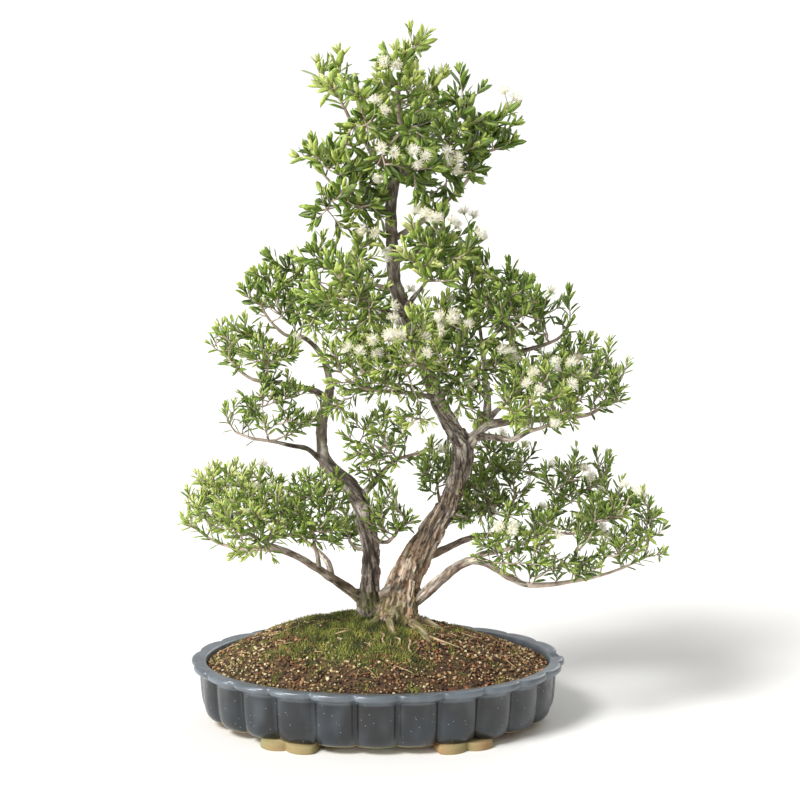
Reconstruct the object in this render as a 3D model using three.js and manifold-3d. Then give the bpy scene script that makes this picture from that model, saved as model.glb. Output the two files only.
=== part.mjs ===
// A flowering bonsai with two trunks, in a scalloped oval pot. Millimetres, +Z up, front towards -Y.
import * as THREE from 'three';
import { mergeVertices } from 'three/addons/utils/BufferGeometryUtils.js';
import Module from 'manifold-3d';

const wasm = await Module();
wasm.setup();

// Pot: an oval with round lobes, a broad rim and four low feet
const POT_LENGTH = 440;
const POT_DEPTH = 330;
const RIM_TOP = 73;
const RIM_WIDTH = 17;
const RIM_DIP = 2;
const POT_FLOOR = 15;
const INNER_TAPER = 10;
const FOOT_HEIGHT = 8;
const FOOT_SINK = 1.5;
const LOBES = 24;
const STEPS_PER_LOBE = 3;
const LOBE_RELIEF = 10;
const FOOT_X = 102;
const FOOT_LENGTH = 66;
const FOOT_WIDTH = 22;
const FOOT_SCALLOP = 5;
const BASE_INSET = 24;
const FOOT_INSET = 14;
const DRAIN_X = 88;
const DRAIN_RADIUS = 11;

// Outside of the pot from its base up over the rim: height, inset from the rim's outline and how
// much of the lobes' relief shows there
const POT_PROFILE = [
  { z: FOOT_HEIGHT, inset: BASE_INSET, lobed: 0.8 },
  { z: FOOT_HEIGHT + 3, inset: 17, lobed: 1 },
  { z: 24, inset: 12, lobed: 1 },
  { z: RIM_TOP - 12, inset: 9, lobed: 1 },
  { z: RIM_TOP - 8, inset: 0, lobed: 0.7 },
  { z: RIM_TOP, inset: 1, lobed: 0.6 },
  { z: RIM_TOP - RIM_DIP, inset: RIM_WIDTH, lobed: 0 },
  { z: POT_FLOOR, inset: RIM_WIDTH + INNER_TAPER, lobed: 0 },
];

// Drain screens: discs of plastic mesh over the drain holes
const SCREEN_RADIUS = 20;
const SCREEN_THICKNESS = 1.2;
const SCREEN_HOLE = 9;

// Soil: a mound that rises from just under the rim to the foot of the trunks
const SOIL_EDGE = 65;
const MOUND_RISE = 55;
const MOUND_POWER = 1.15;
const MOUND_SHIFT = 18;
const SOIL_SIDES = 26;
const SOIL_RINGS = 4;
const STUMP_RADIUS = 27;
const STUMP_BOTTOM = 74;
const STUMP_CENTRE = [10, 7];

// Gap between a piece and the neighbour that it rests on, stands in or grows from
const SEAT_GAP = 0.3;
// Least distance kept between leaves or twigs and what belongs to another piece
const CLEARANCE = 0.6;

// Leaves: small low on the tree, larger in the crown
const LOW_LEAF = { length: 17, width: 5.4 };
const CROWN_LEAF = { length: 24, width: 8 };
const LOW_LEAF_HEIGHT = 400;
const CROWN_LEAF_HEIGHT = 640;
const LEAF_KEEL = 1.6;
const LEAF_TILT = 0.85;
const LEAF_WIDEST = 0.55;
const LEAF_CORE = 0.4;

// Shoots: where their tips lie in the branch's ellipsoid, and how far down its sides they reach
const SHOOT_REACH = { least: 0.56, most: 0.94 };
const SHOOT_LOWEST = -0.45;

// Twigs: radii where they start and end, with one between when they are long enough to bend
const BENT_TWIG = [1.5, 1.2, 0.8];
const STRAIGHT_TWIG = [1.4, 0.8];
const STRAIGHT_LENGTH = 42;
const COLLAR = 3;
const BRANCH_TIP = 1.3;
const BRANCH_TAPER = 1.3;

// Flowers: puffs of stamens
const PUFF_RADIUS = 7.5;
const PUFF_CORE = 3.4;
const STALK_RADIUS = 0.9;
const STALK_LENGTH = 9;
const FLOWER_SPREAD = 7;
const FLOWER_STEP = 5;

// Centre lines of the trunks: x, y, z and radius
const TRUNK_FLUTING = 0.07;
const TRUNK_RIGHT = [
  [22, 4, 108, 32], [25, 2, 133, 24], [31, 0, 157, 20], [41, 2, 183, 18], [54, 6, 207, 16],
  [68, 10, 229, 15], [83, 12, 250, 13.5], [93, 12, 277, 12], [98, 10, 301, 12.5], [100, 8, 322, 13.5],
  [89, 8, 341, 10.5], [74, 8, 367, 9.5], [63, 6, 393, 9], [54, 2, 424, 9], [43, -2, 453, 9],
  [32, -4, 481, 8.5], [21, -4, 508, 8], [18, -2, 537, 8], [17, 2, 567, 7.5], [16, 6, 594, 7],
  [18, 10, 622, 7], [24, 12, 644, 6.5], [28, 12, 669, 4.5],
];
const TRUNK_LEFT = [
  [-4, 12, 108, 22], [-10, 12, 140, 14.5], [-9, 12, 168, 11.5], [-9, 14, 195, 11], [-13, 16, 223, 11],
  [-20, 16, 252, 10.5], [-33, 14, 274, 10.5], [-49, 12, 290, 9.5], [-62, 12, 305, 8], [-66, 12, 329, 7],
  [-65, 12, 355, 6.5], [-58, 12, 376, 6], [-56, 12, 393, 5],
];

// Surface roots: bearing in degrees from +X, reach over the soil and radius where they leave the trunk
const ROOTS = [
  { bearing: -52, reach: 68, radius: 8 },
  { bearing: -92, reach: 52, radius: 7 },
  { bearing: -140, reach: 46, radius: 6 },
  { bearing: 176, reach: 54, radius: 6.5 },
  { bearing: 118, reach: 48, radius: 6 },
  { bearing: 48, reach: 56, radius: 6.5 },
  { bearing: -8, reach: 58, radius: 7 },
];

// How a surface root runs: part of its reach, height over the soil, share of its radius
const ROOT_COURSE = [[0, 20, 1], [0.4, 5, 0.9], [0.7, 1, 0.7], [1, -2, 0.4]];

// Dead stubs: start, end, radius at each
const STUBS = [
  { from: [118, 4, 338], to: [120, -4, 362], radii: [4.5, 2.6] },
  { from: [80, 10, 243], to: [106, 0, 238], radii: [4, 2.6] },
  { from: [20, 8, 642], to: [4, -4, 656], radii: [4.5, 3] },
  { from: [30, -2, 160], to: [2, -16, 150], radii: [9, 5] },
];

// Branches: the points of each centre line from inside what it grows from, how many of them lie on
// the bare woody limb, its radius where it starts, the leafy shoots it carries, and the ellipsoid
// that its foliage fills
const BRANCHES = [
  {
    name: 'low_left_outer', wood: 5, thick: 7, shoots: 3,
    path: [[-19, 12, 137], [-38, 8, 154], [-56, -4, 169], [-73, -18, 184], [-92, -29, 198],
      [-112, -35, 207], [-133, -35, 209], [-159, -29, 208], [-189, -20, 215], [-211, -14, 228]],
    centre: [-191, -14, 252], size: [42, 50, 38],
  },
  {
    name: 'low_left_back', wood: 3, thick: 4.5, shoots: 3,
    path: [[-55, 2, 168], [-59, 17, 181], [-72, 33, 192], [-88, 42, 203], [-108, 45, 219],
      [-132, 45, 233]],
    centre: [-127, 48, 249], size: [52, 45, 38],
  },
  {
    name: 'low_left_front', wood: 2, thick: 4, shoots: 3,
    path: [[-90, -15, 194], [-106, -51, 211], [-123, -70, 222], [-140, -82, 234], [-155, -88, 244]],
    centre: [-146, -88, 260], size: [50, 42, 40],
  },
  {
    name: 'low_left_inner', wood: 2, thick: 3.5, shoots: 2,
    path: [[-69, -7, 179], [-69, -38, 202], [-72, -54, 222], [-73, -60, 243]],
    centre: [-72, -60, 256], size: [38, 42, 44],
  },
  {
    name: 'mid_left_low', wood: 3, thick: 3.5, shoots: 3,
    path: [[-67, 12, 305], [-81, -1, 320], [-101, -17, 327], [-121, -26, 333], [-144, -29, 337],
      [-162, -29, 344]],
    centre: [-116, -26, 368], size: [56, 42, 34],
  },
  {
    name: 'mid_left', wood: 3, thick: 4.5, shoots: 3,
    path: [[-58, 12, 377], [-73, 8, 387], [-92, 2, 393], [-120, -4, 399], [-144, -11, 403],
      [-162, -17, 418], [-175, -17, 435]],
    centre: [-143, -4, 438], size: [47, 50, 34],
  },
  {
    name: 'upper_left_outer', wood: 3, thick: 4.5, shoots: 3,
    path: [[-54, 12, 388], [-59, 17, 411], [-70, 20, 434], [-87, 17, 449], [-106, 11, 452],
      [-123, 5, 468], [-137, 2, 491]],
    centre: [-114, 8, 498], size: [40, 50, 48],
  },
  {
    name: 'upper_left_back', wood: 2, thick: 4, shoots: 3,
    path: [[21, -4, 508], [6, 30, 507], [-13, 61, 512], [-31, 76, 527]],
    centre: [-42, 79, 500], size: [51, 48, 51],
  },
  {
    name: 'upper_left_front', wood: 2, thick: 4, shoots: 3,
    path: [[33, -4, 477], [12, -42, 483], [-7, -63, 493], [-25, -73, 509]],
    centre: [-37, -70, 491], size: [50, 42, 50],
  },
  {
    name: 'centre_left', wood: 3, thick: 4, shoots: 3,
    path: [[69, 8, 378], [58, -4, 382], [37, -29, 389], [10, -54, 394], [-19, -70, 401],
      [-36, -76, 414]],
    centre: [-16, -76, 426], size: [48, 42, 38],
  },
  {
    name: 'centre_front', wood: 2, thick: 4, shoots: 3,
    path: [[58, 4, 410], [54, -32, 426], [48, -63, 439], [41, -88, 457]],
    centre: [35, -104, 444], size: [45, 42, 46],
  },
  {
    name: 'centre_right', wood: 2, thick: 4, shoots: 3,
    path: [[70, 8, 374], [82, -20, 395], [93, -45, 415], [99, -60, 439]],
    centre: [99, -73, 430], size: [48, 42, 50],
  },
  {
    name: 'centre_back', wood: 2, thick: 4.5, shoots: 3,
    path: [[57, 4, 414], [48, 42, 422], [39, 76, 434], [31, 92, 454]],
    centre: [26, 116, 443], size: [60, 48, 51],
  },
  {
    name: 'inner_middle', wood: 3, thick: 4.5, shoots: 3,
    path: [[-21, 16, 260], [-2, 8, 282], [10, -4, 298], [21, -14, 309], [38, -20, 316], [54, -23, 322]],
    centre: [6, -20, 328], size: [46, 42, 46],
  },
  {
    name: 'inner_low', wood: 2, thick: 3.5, shoots: 2,
    path: [[-8, 15, 219], [1, -4, 212], [13, -20, 215], [26, -26, 232], [35, -26, 247]],
    centre: [13, -26, 250], size: [30, 30, 34],
  },
  {
    name: 'behind_left', wood: 2, thick: 3, shoots: 2,
    path: [[-13, 18, 200], [-25, 51, 191], [-35, 67, 197], [-40, 73, 212]],
    centre: [-38, 73, 209], size: [24, 32, 34],
  },
  {
    name: 'back_right_low', wood: 2, thick: 4, shoots: 3,
    path: [[88, 12, 270], [101, 51, 265], [118, 82, 268], [136, 98, 279]],
    centre: [150, 104, 285], size: [46, 45, 42],
  },
  {
    name: 'back_left_low', wood: 2, thick: 3.5, shoots: 2,
    path: [[75, 12, 246], [75, 51, 244], [73, 79, 250], [71, 92, 267]],
    centre: [74, 92, 284], size: [34, 38, 42],
  },
  {
    name: 'right_pad_outer', wood: 6, thick: 8, shoots: 3,
    path: [[103, 8, 321], [113, 2, 334], [123, -4, 347], [141, -12, 353], [166, -17, 356],
      [193, -20, 358], [216, -23, 360], [246, -23, 365], [264, -20, 378], [281, -17, 392]],
    centre: [246, -20, 402], size: [46, 50, 46],
  },
  {
    name: 'right_pad_front', wood: 3, thick: 5, shoots: 3,
    path: [[115, 3, 334], [133, -35, 339], [154, -57, 340], [172, -70, 351], [190, -76, 358],
      [206, -79, 372]],
    centre: [182, -91, 396], size: [54, 42, 42],
  },
  {
    name: 'right_pad_back', wood: 2, thick: 5, shoots: 3,
    path: [[126, 0, 347], [138, 42, 357], [155, 73, 366], [174, 89, 380]],
    centre: [196, 92, 393], size: [53, 45, 42],
  },
  {
    name: 'right_upper_inner', wood: 4, thick: 6, shoots: 3,
    path: [[125, 0, 347], [128, 11, 370], [126, 17, 398], [123, 17, 432], [119, 11, 458],
      [116, 8, 486]],
    centre: [116, 5, 480], size: [42, 50, 50],
  },
  {
    name: 'right_upper_outer', wood: 3, thick: 4, shoots: 3,
    path: [[125, 14, 416], [148, 3, 428], [172, -11, 437], [193, -17, 444], [209, -17, 452],
      [221, -17, 469]],
    centre: [186, -14, 484], size: [38, 48, 42],
  },
  {
    name: 'right_upper_front', wood: 2, thick: 3.5, shoots: 2,
    path: [[123, 14, 437], [133, -23, 455], [145, -51, 472], [152, -60, 495]],
    centre: [146, -70, 488], size: [38, 40, 48],
  },
  {
    name: 'upper_right_front', wood: 2, thick: 4, shoots: 3,
    path: [[32, -4, 483], [42, -29, 499], [53, -45, 514], [61, -54, 536]],
    centre: [70, -63, 546], size: [45, 42, 46],
  },
  {
    name: 'upper_right_back', wood: 2, thick: 4, shoots: 3,
    path: [[18, -2, 535], [32, 36, 542], [50, 67, 549], [69, 82, 560]],
    centre: [80, 86, 546], size: [46, 45, 44],
  },
  {
    name: 'low_right_outer', wood: 7, thick: 8, shoots: 4,
    path: [[31, 0, 131], [52, -11, 148], [72, -23, 169], [91, -35, 188], [108, -48, 198],
      [125, -57, 197], [145, -63, 185], [169, -63, 174], [195, -60, 173], [220, -54, 175],
      [249, -48, 179], [281, -38, 187], [312, -32, 200]],
    centre: [279, -38, 234], size: [52, 52, 56],
  },
  {
    name: 'low_right_front', wood: 2, thick: 4.5, shoots: 3,
    path: [[107, -27, 193], [121, -70, 211], [138, -88, 218], [160, -97, 227], [181, -100, 240]],
    centre: [164, -100, 226], size: [56, 42, 46],
  },
  {
    name: 'low_right_middle', wood: 5, thick: 5.5, shoots: 4,
    path: [[47, 4, 185], [71, 17, 194], [93, 30, 202], [118, 39, 209], [147, 45, 210], [177, 48, 211],
      [208, 48, 212], [237, 45, 211], [257, 42, 223]],
    centre: [238, 42, 234], size: [54, 50, 58],
  },
  {
    name: 'low_right_upper', wood: 2, thick: 3.5, shoots: 3,
    path: [[146, 43, 211], [154, 67, 222], [162, 79, 235], [166, 86, 252]],
    centre: [142, 82, 250], size: [54, 42, 46],
  },
  {
    name: 'crown_top', wood: 1, thick: 4.2, shoots: 4,
    path: [[28, 12, 669], [27, 11, 690], [24, 8, 719], [27, 5, 748], [34, 2, 774]],
    centre: [37, 2, 746], size: [40, 48, 52],
  },
  {
    name: 'crown_left_tip', wood: 3, thick: 4.5, shoots: 2,
    path: [[23, 12, 640], [1, 8, 651], [-13, 2, 673], [-29, -1, 696], [-39, -4, 715], [-50, -4, 734]],
    centre: [-52, -4, 744], size: [22, 25, 30],
  },
  {
    name: 'crown_left_inner', wood: 2, thick: 3, shoots: 3,
    path: [[-11, 5, 670], [-15, -20, 684], [-16, -38, 699], [-16, -45, 718]],
    centre: [-14, -48, 692], size: [34, 38, 58],
  },
  {
    name: 'crown_left', wood: 2, thick: 5, shoots: 3,
    path: [[16, 6, 594], [-6, -4, 600], [-25, -14, 605], [-43, -20, 619], [-61, -23, 637]],
    centre: [-38, -23, 616], size: [52, 50, 64],
  },
  {
    name: 'crown_right_inner', wood: 2, thick: 5.5, shoots: 3,
    path: [[23, 12, 636], [43, 5, 634], [62, -4, 640], [77, -11, 655], [85, -14, 675]],
    centre: [92, -17, 684], size: [38, 42, 66],
  },
  {
    name: 'crown_right_outer', wood: 3, thick: 4, shoots: 3,
    path: [[17, 2, 562], [38, 17, 575], [61, 30, 590], [85, 33, 611], [105, 27, 632], [115, 20, 659],
      [129, 14, 684], [143, 8, 706]],
    centre: [128, 17, 682], size: [38, 42, 42],
  },
  {
    name: 'crown_front', wood: 2, thick: 3, shoots: 3,
    path: [[27, 12, 665], [31, -17, 674], [35, -42, 685], [38, -54, 702]],
    centre: [37, -66, 654], size: [39, 38, 60],
  },
  {
    name: 'crown_back', wood: 2, thick: 3.5, shoots: 3,
    path: [[23, 12, 647], [28, 51, 660], [32, 73, 677], [32, 86, 699]],
    centre: [32, 92, 688], size: [49, 45, 51],
  },
];

// Flower clusters: the branch that each one grows on, its place and how many flowers it has
const BLOOMS = [
  { branch: 'crown_top', place: [16, -51, 755], flowers: 2 },
  { branch: 'crown_left_inner', place: [-2, -85, 700], flowers: 2 },
  { branch: 'crown_front', place: [14, -110, 659], flowers: 2 },
  { branch: 'crown_front', place: [46, -100, 651], flowers: 2 },
  { branch: 'crown_right_inner', place: [81, -60, 650], flowers: 2 },
  { branch: 'crown_right_outer', place: [148, -4, 716], flowers: 2 },
  { branch: 'crown_left', place: [-8, -57, 574], flowers: 2 },
  { branch: 'upper_right_front', place: [61, -104, 583], flowers: 3 },
  { branch: 'upper_right_back', place: [107, 64, 580], flowers: 2 },
  { branch: 'centre_front', place: [26, -153, 457], flowers: 3 },
  { branch: 'centre_right', place: [81, -116, 475], flowers: 2 },
  { branch: 'centre_left', place: [-21, -122, 437], flowers: 2 },
  { branch: 'right_pad_outer', place: [223, -70, 406], flowers: 2 },
  { branch: 'right_pad_front', place: [168, -135, 398], flowers: 2 },
  { branch: 'low_right_outer', place: [281, -85, 278], flowers: 2 },
  { branch: 'low_right_front', place: [143, -141, 251], flowers: 2 },
  { branch: 'low_right_middle', place: [235, -14, 289], flowers: 2 },
];

const FINISH = {
  glaze: { color: 0x4d5a68, roughness: 0.3, metalness: 0 },
  screen: { color: 0x2a2f2c, roughness: 0.7, metalness: 0 },
  soil: { color: 0x6b4f35, roughness: 0.95, metalness: 0 },
  bark: { color: 0x8a7663, roughness: 0.9, metalness: 0 },
  leaf: { color: 0x5f8a35, roughness: 0.55, metalness: 0 },
  flower: { color: 0xf4f1e4, roughness: 0.7, metalness: 0 },
};

const tree = new THREE.Group();

function vector([x, y, z]) {
  return new THREE.Vector3(x, y, z);
}

// A closed geometry as a solid that can be joined and cut
function solid(geometry) {
  const bare = geometry.clone();
  bare.deleteAttribute('normal');
  bare.deleteAttribute('uv');
  const merged = mergeVertices(bare, 1e-4);
  return new wasm.Manifold(new wasm.Mesh({
    numProp: 3,
    vertProperties: Float32Array.from(merged.attributes.position.array),
    triVerts: Uint32Array.from(merged.index.array),
  }));
}

function add(name, body, finish) {
  const mesh = body.getMesh();
  const geometry = new THREE.BufferGeometry();
  geometry.setAttribute('position', new THREE.BufferAttribute(mesh.vertProperties, 3));
  geometry.setIndex(new THREE.BufferAttribute(mesh.triVerts, 1));
  geometry.computeVertexNormals();
  const piece = new THREE.Mesh(geometry, new THREE.MeshStandardMaterial(finish));
  piece.name = name;
  tree.add(piece);
}

// The faces of a closed skin over rings of points, each ring counted the same way round its axis
function facesOver(rings) {
  const count = rings[0].length;
  const faces = [];
  for (let ring = 0; ring + 1 < rings.length; ring += 1) {
    for (let k = 0; k < count; k += 1) {
      const a = ring * count + k;
      const b = ring * count + (k + 1) % count;
      faces.push([a, b, b + count], [a, b + count, a + count]);
    }
  }
  const last = (rings.length - 1) * count;
  for (let k = 1; k + 1 < count; k += 1) {
    faces.push([0, k + 1, k], [last, last + k, last + k + 1]);
  }
  return faces;
}

function skin(points, faces) {
  const geometry = new THREE.BufferGeometry();
  const positions = points.flatMap((point) => point.toArray());
  geometry.setAttribute('position', new THREE.Float32BufferAttribute(positions, 3));
  geometry.setIndex(faces.flat());
  return solid(geometry);
}

// A ring of points round each centre of a tapering limb, carried along it without twisting
function ringsAlong(centres, radii, sides, fluting = 0) {
  const forward = centres[1].clone().sub(centres[0]).normalize();
  const side = new THREE.Vector3(0, 0, 1).cross(forward);
  if (side.length() < 0.2) {
    side.set(0, 1, 0);
    side.addScaledVector(forward, -side.dot(forward));
  }
  side.normalize();
  return centres.map((centre, ring) => {
    const before = centres[Math.max(ring - 1, 0)];
    const after = centres[Math.min(ring + 1, centres.length - 1)];
    const next = after.clone().sub(before).normalize();
    side.applyQuaternion(new THREE.Quaternion().setFromUnitVectors(forward, next));
    forward.copy(next);
    const up = forward.clone().cross(side);
    return Array.from({ length: sides }, (_, k) => {
      const angle = (2 * Math.PI * k) / sides;
      const radius = radii[ring] * (1 + fluting * Math.cos(3 * angle + 0.5 * ring));
      const point = centre.clone().addScaledVector(side, radius * Math.cos(angle));
      return point.addScaledVector(up, radius * Math.sin(angle));
    });
  });
}

function limb(centres, radii, sides, fluting) {
  const rings = ringsAlong(centres, radii, sides, fluting);
  return skin(rings.flat(), facesOver(rings));
}

// One ring of the oval, at a given inset from the pot's outline, with round lobes that meet in
// grooves, the widest part of a lobe at the middle of the front
function ovalRing(inset, z, relief, steps) {
  const oval = new THREE.EllipseCurve(0, 0, POT_LENGTH / 2 - inset, POT_DEPTH / 2 - inset);
  return Array.from({ length: steps }, (_, k) => {
    const along = ((k + STEPS_PER_LOBE / 2) / steps) % 1;
    const acrossLobe = (k % STEPS_PER_LOBE) / STEPS_PER_LOBE;
    const bulge = Math.sqrt(1 - (2 * acrossLobe - 1) ** 2);
    const point = oval.getPointAt(along);
    const outward = oval.getTangentAt(along).rotateAround(new THREE.Vector2(), -Math.PI / 2);
    point.addScaledVector(outward, -relief * (1 - bulge));
    return new THREE.Vector3(point.x, point.y, z);
  });
}

function upright(radius, from, to, x, y, sides) {
  const geometry = new THREE.CylinderGeometry(radius, radius, to - from, sides);
  geometry.rotateX(Math.PI / 2);
  geometry.translate(x, y, (from + to) / 2);
  return solid(geometry);
}

// A foot: a low bar under the pot's edge with two shallow scallops outside
function foot(sideX, sideY) {
  const [halfX, halfY] = [POT_LENGTH / 2 - FOOT_INSET, POT_DEPTH / 2 - FOOT_INSET];
  const edgeY = halfY * Math.sqrt(1 - (FOOT_X / halfX) ** 2);
  const lean = Math.atan2(FOOT_X / halfX ** 2, edgeY / halfY ** 2);
  const half = FOOT_LENGTH / 2;
  const outline = new THREE.Shape();
  outline.moveTo(-half, -FOOT_WIDTH);
  outline.lineTo(half, -FOOT_WIDTH);
  outline.lineTo(half, -FOOT_SCALLOP);
  outline.quadraticCurveTo(half / 2, 2 * FOOT_SCALLOP, 0, -FOOT_SCALLOP / 2);
  outline.quadraticCurveTo(-half / 2, 2 * FOOT_SCALLOP, -half, -FOOT_SCALLOP);
  const geometry = new THREE.ExtrudeGeometry(outline, {
    depth: FOOT_HEIGHT + FOOT_SINK,
    bevelEnabled: false,
    curveSegments: 2,
  });
  geometry.rotateZ(-lean);
  geometry.translate(FOOT_X, edgeY, 0);
  const quarter = solid(geometry);
  return sideX > 0 && sideY > 0 ? quarter : mirrored(quarter, sideX, sideY);
}

// The same solid on another side of the pot's middle planes
function mirrored(body, sideX, sideY) {
  const mesh = body.getMesh();
  const vertProperties = mesh.vertProperties.map((value, i) => value * [sideX, sideY, 1][i % 3]);
  const turned = sideX * sideY < 0;
  const triVerts = mesh.triVerts.map((_, i, all) => {
    const corner = i % 3;
    return turned && corner > 0 ? all[i - corner + 3 - corner] : all[i];
  });
  return new wasm.Manifold(new wasm.Mesh({ numProp: 3, vertProperties, triVerts }));
}

function pot() {
  const steps = LOBES * STEPS_PER_LOBE;
  const wall = POT_PROFILE.map(({ z, inset, lobed }) => ovalRing(inset, z, LOBE_RELIEF * lobed, steps));
  let body = skin(wall.flat(), facesOver(wall));
  for (const sideX of [-1, 1]) {
    for (const sideY of [-1, 1]) {
      body = body.add(foot(sideX, sideY));
    }
    body = body.subtract(upright(DRAIN_RADIUS, 0, POT_FLOOR + 5, sideX * DRAIN_X, 0, 12));
  }
  add('pot', body, FINISH.glaze);
}

function drainScreen(name, x) {
  const bottom = POT_FLOOR + SEAT_GAP;
  let disc = upright(SCREEN_RADIUS, bottom, bottom + SCREEN_THICKNESS, x, 0, 12);
  for (const side of [-1, 1]) {
    const hole = new THREE.BoxGeometry(SCREEN_HOLE, 2 * SCREEN_HOLE, 4 * SCREEN_THICKNESS);
    hole.translate(x + side * (SCREEN_HOLE / 2 + 1), 0, bottom);
    disc = disc.subtract(solid(hole));
  }
  add(name, disc, FINISH.screen);
}

// Height of the mound's surface, by how far a place is from the top, which lies left of the middle
function moundHeight(x, y) {
  const [halfX, halfY] = [POT_LENGTH / 2 - RIM_WIDTH, POT_DEPTH / 2 - RIM_WIDTH];
  const fromTop = x + MOUND_SHIFT * (1 - (x / halfX) ** 2);
  const far = Math.hypot(fromTop / halfX, y / halfY);
  return SOIL_EDGE + MOUND_RISE * Math.max(0, 1 - far * far) ** MOUND_POWER;
}

// The soil's body: from its underside up the pot's inner wall, then over the mound in rings
function mound(bottom, raised, inset) {
  const rings = [];
  const innerTop = RIM_TOP - RIM_DIP;
  const wallSlope = INNER_TAPER / (innerTop - POT_FLOOR);
  for (const z of [bottom, SOIL_EDGE + raised]) {
    const back = RIM_WIDTH + inset + wallSlope * (innerTop - Math.min(z, SOIL_EDGE));
    rings.push(ovalRing(back, z, 0, SOIL_SIDES));
  }
  const edge = rings[1];
  for (let ring = 1; ring < SOIL_RINGS; ring += 1) {
    const reach = 1 - ring / SOIL_RINGS;
    rings.push(edge.map((point) => {
      const [x, y] = [point.x * reach, point.y * reach];
      return new THREE.Vector3(x, y, moundHeight(x, y) + raised);
    }));
  }
  return skin(rings.flat(), facesOver(rings));
}

function stumpHole(bottom, radius) {
  return upright(radius, bottom, SOIL_EDGE + MOUND_RISE + 20, ...STUMP_CENTRE, 12);
}

function soil() {
  let body = mound(POT_FLOOR + SEAT_GAP, 0, 2 * SEAT_GAP);
  body = body.subtract(stumpHole(STUMP_BOTTOM, STUMP_RADIUS));
  const screenTop = POT_FLOOR + SCREEN_THICKNESS + 2 * SEAT_GAP;
  for (const x of [-DRAIN_X, DRAIN_X]) {
    const recess = upright(SCREEN_RADIUS + 2, 0, screenTop, x, 0, 12);
    body = body.subtract(recess);
  }
  add('soil', body, FINISH.soil);
}

// What has been placed so far, as fat lines that belong to a piece
const placed = [];

function isClear(owner, from, to, radius) {
  const line = new THREE.Line3(from, to);
  return placed.every((item) => {
    if (item.owner === owner) {
      return true;
    }
    return Math.sqrt(line.distanceSqToLine3(item.line)) > item.radius + radius + CLEARANCE;
  });
}

function place(owner, points, radii) {
  for (let i = 0; i + 1 < points.length; i += 1) {
    const line = new THREE.Line3(points[i], points[i + 1]);
    placed.push({ owner, line, radius: Math.max(radii[i], radii[i + 1]) });
  }
}

function halton(index, base) {
  let value = 0;
  let fraction = 1;
  for (let rest = index; rest > 0; rest = Math.floor(rest / base)) {
    fraction /= base;
    value += fraction * (rest % base);
  }
  return value;
}

// The n-th shoot tip of a branch, spread evenly over the upper and outer part of its ellipsoid
function shootTip(branch, n) {
  const height = THREE.MathUtils.lerp(1, SHOOT_LOWEST, halton(n, 3));
  const angle = 2 * Math.PI * halton(n, 2);
  const reach = THREE.MathUtils.lerp(SHOOT_REACH.least, SHOOT_REACH.most, halton(n, 5));
  const flat = Math.sqrt(1 - height * height);
  return new THREE.Vector3(
    branch.centre[0] + branch.size[0] * reach * flat * Math.cos(angle),
    branch.centre[1] + branch.size[1] * reach * flat * Math.sin(angle),
    branch.centre[2] + branch.size[2] * reach * height,
  );
}

// Radius of a branch at a place along it, from 0 where it starts to 1 at its end
function branchRadius(branch, along) {
  return BRANCH_TIP + (branch.thick - BRANCH_TIP) * (1 - along) ** BRANCH_TAPER;
}

// The branch's centre line, split where the bare limb gives way to the leafy part
function branchLines(branch) {
  const curve = new THREE.CatmullRomCurve3(branch.path.map(vector), false, 'centripetal');
  const last = branch.path.length - 1;
  const at = (along) => ({ point: curve.getPoint(along), radius: branchRadius(branch, along) });
  const bare = [];
  for (let k = 0; k <= branch.wood; k += 1) {
    bare.push(at(k / last));
  }
  const leafy = [];
  for (let k = branch.wood; k <= last; k += 1) {
    leafy.push(at(k / last));
  }
  const outward = bare.at(-1).point.clone().sub(bare.at(-2).point).normalize();
  const tipDirection = leafy[1].point.clone().sub(leafy[0].point).normalize();
  outward.add(tipDirection).normalize();
  const flatTip = bare.at(-1).point.clone().addScaledVector(outward, 2);
  bare.push({ point: flatTip, radius: bare.at(-1).radius });
  const start = flatTip.clone().addScaledVector(outward, SEAT_GAP);
  const lead = start.clone().addScaledVector(outward, 3);
  const radius = leafy[0].radius;
  leafy.splice(0, 1, { point: start, radius }, { point: lead, radius });
  return { bare, leafy };
}

function limbOf(line, sides) {
  return limb(line.map((item) => item.point), line.map((item) => item.radius), sides);
}

// A root that leaves the foot of the trunks and dips into the soil
function root({ bearing, reach, radius }) {
  const turn = THREE.MathUtils.degToRad(bearing);
  const centres = [];
  const radii = [];
  for (const [along, lift, width] of ROOT_COURSE) {
    const sway = 0.12 * Math.sin(5 * along + bearing);
    const x = STUMP_CENTRE[0] + 8 + reach * along * Math.cos(turn + sway);
    const y = STUMP_CENTRE[1] - 4 + reach * along * Math.sin(turn + sway);
    centres.push(new THREE.Vector3(x, y, moundHeight(x, y) + lift));
    radii.push(radius * width);
  }
  return limb(centres, radii, 4);
}

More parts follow.
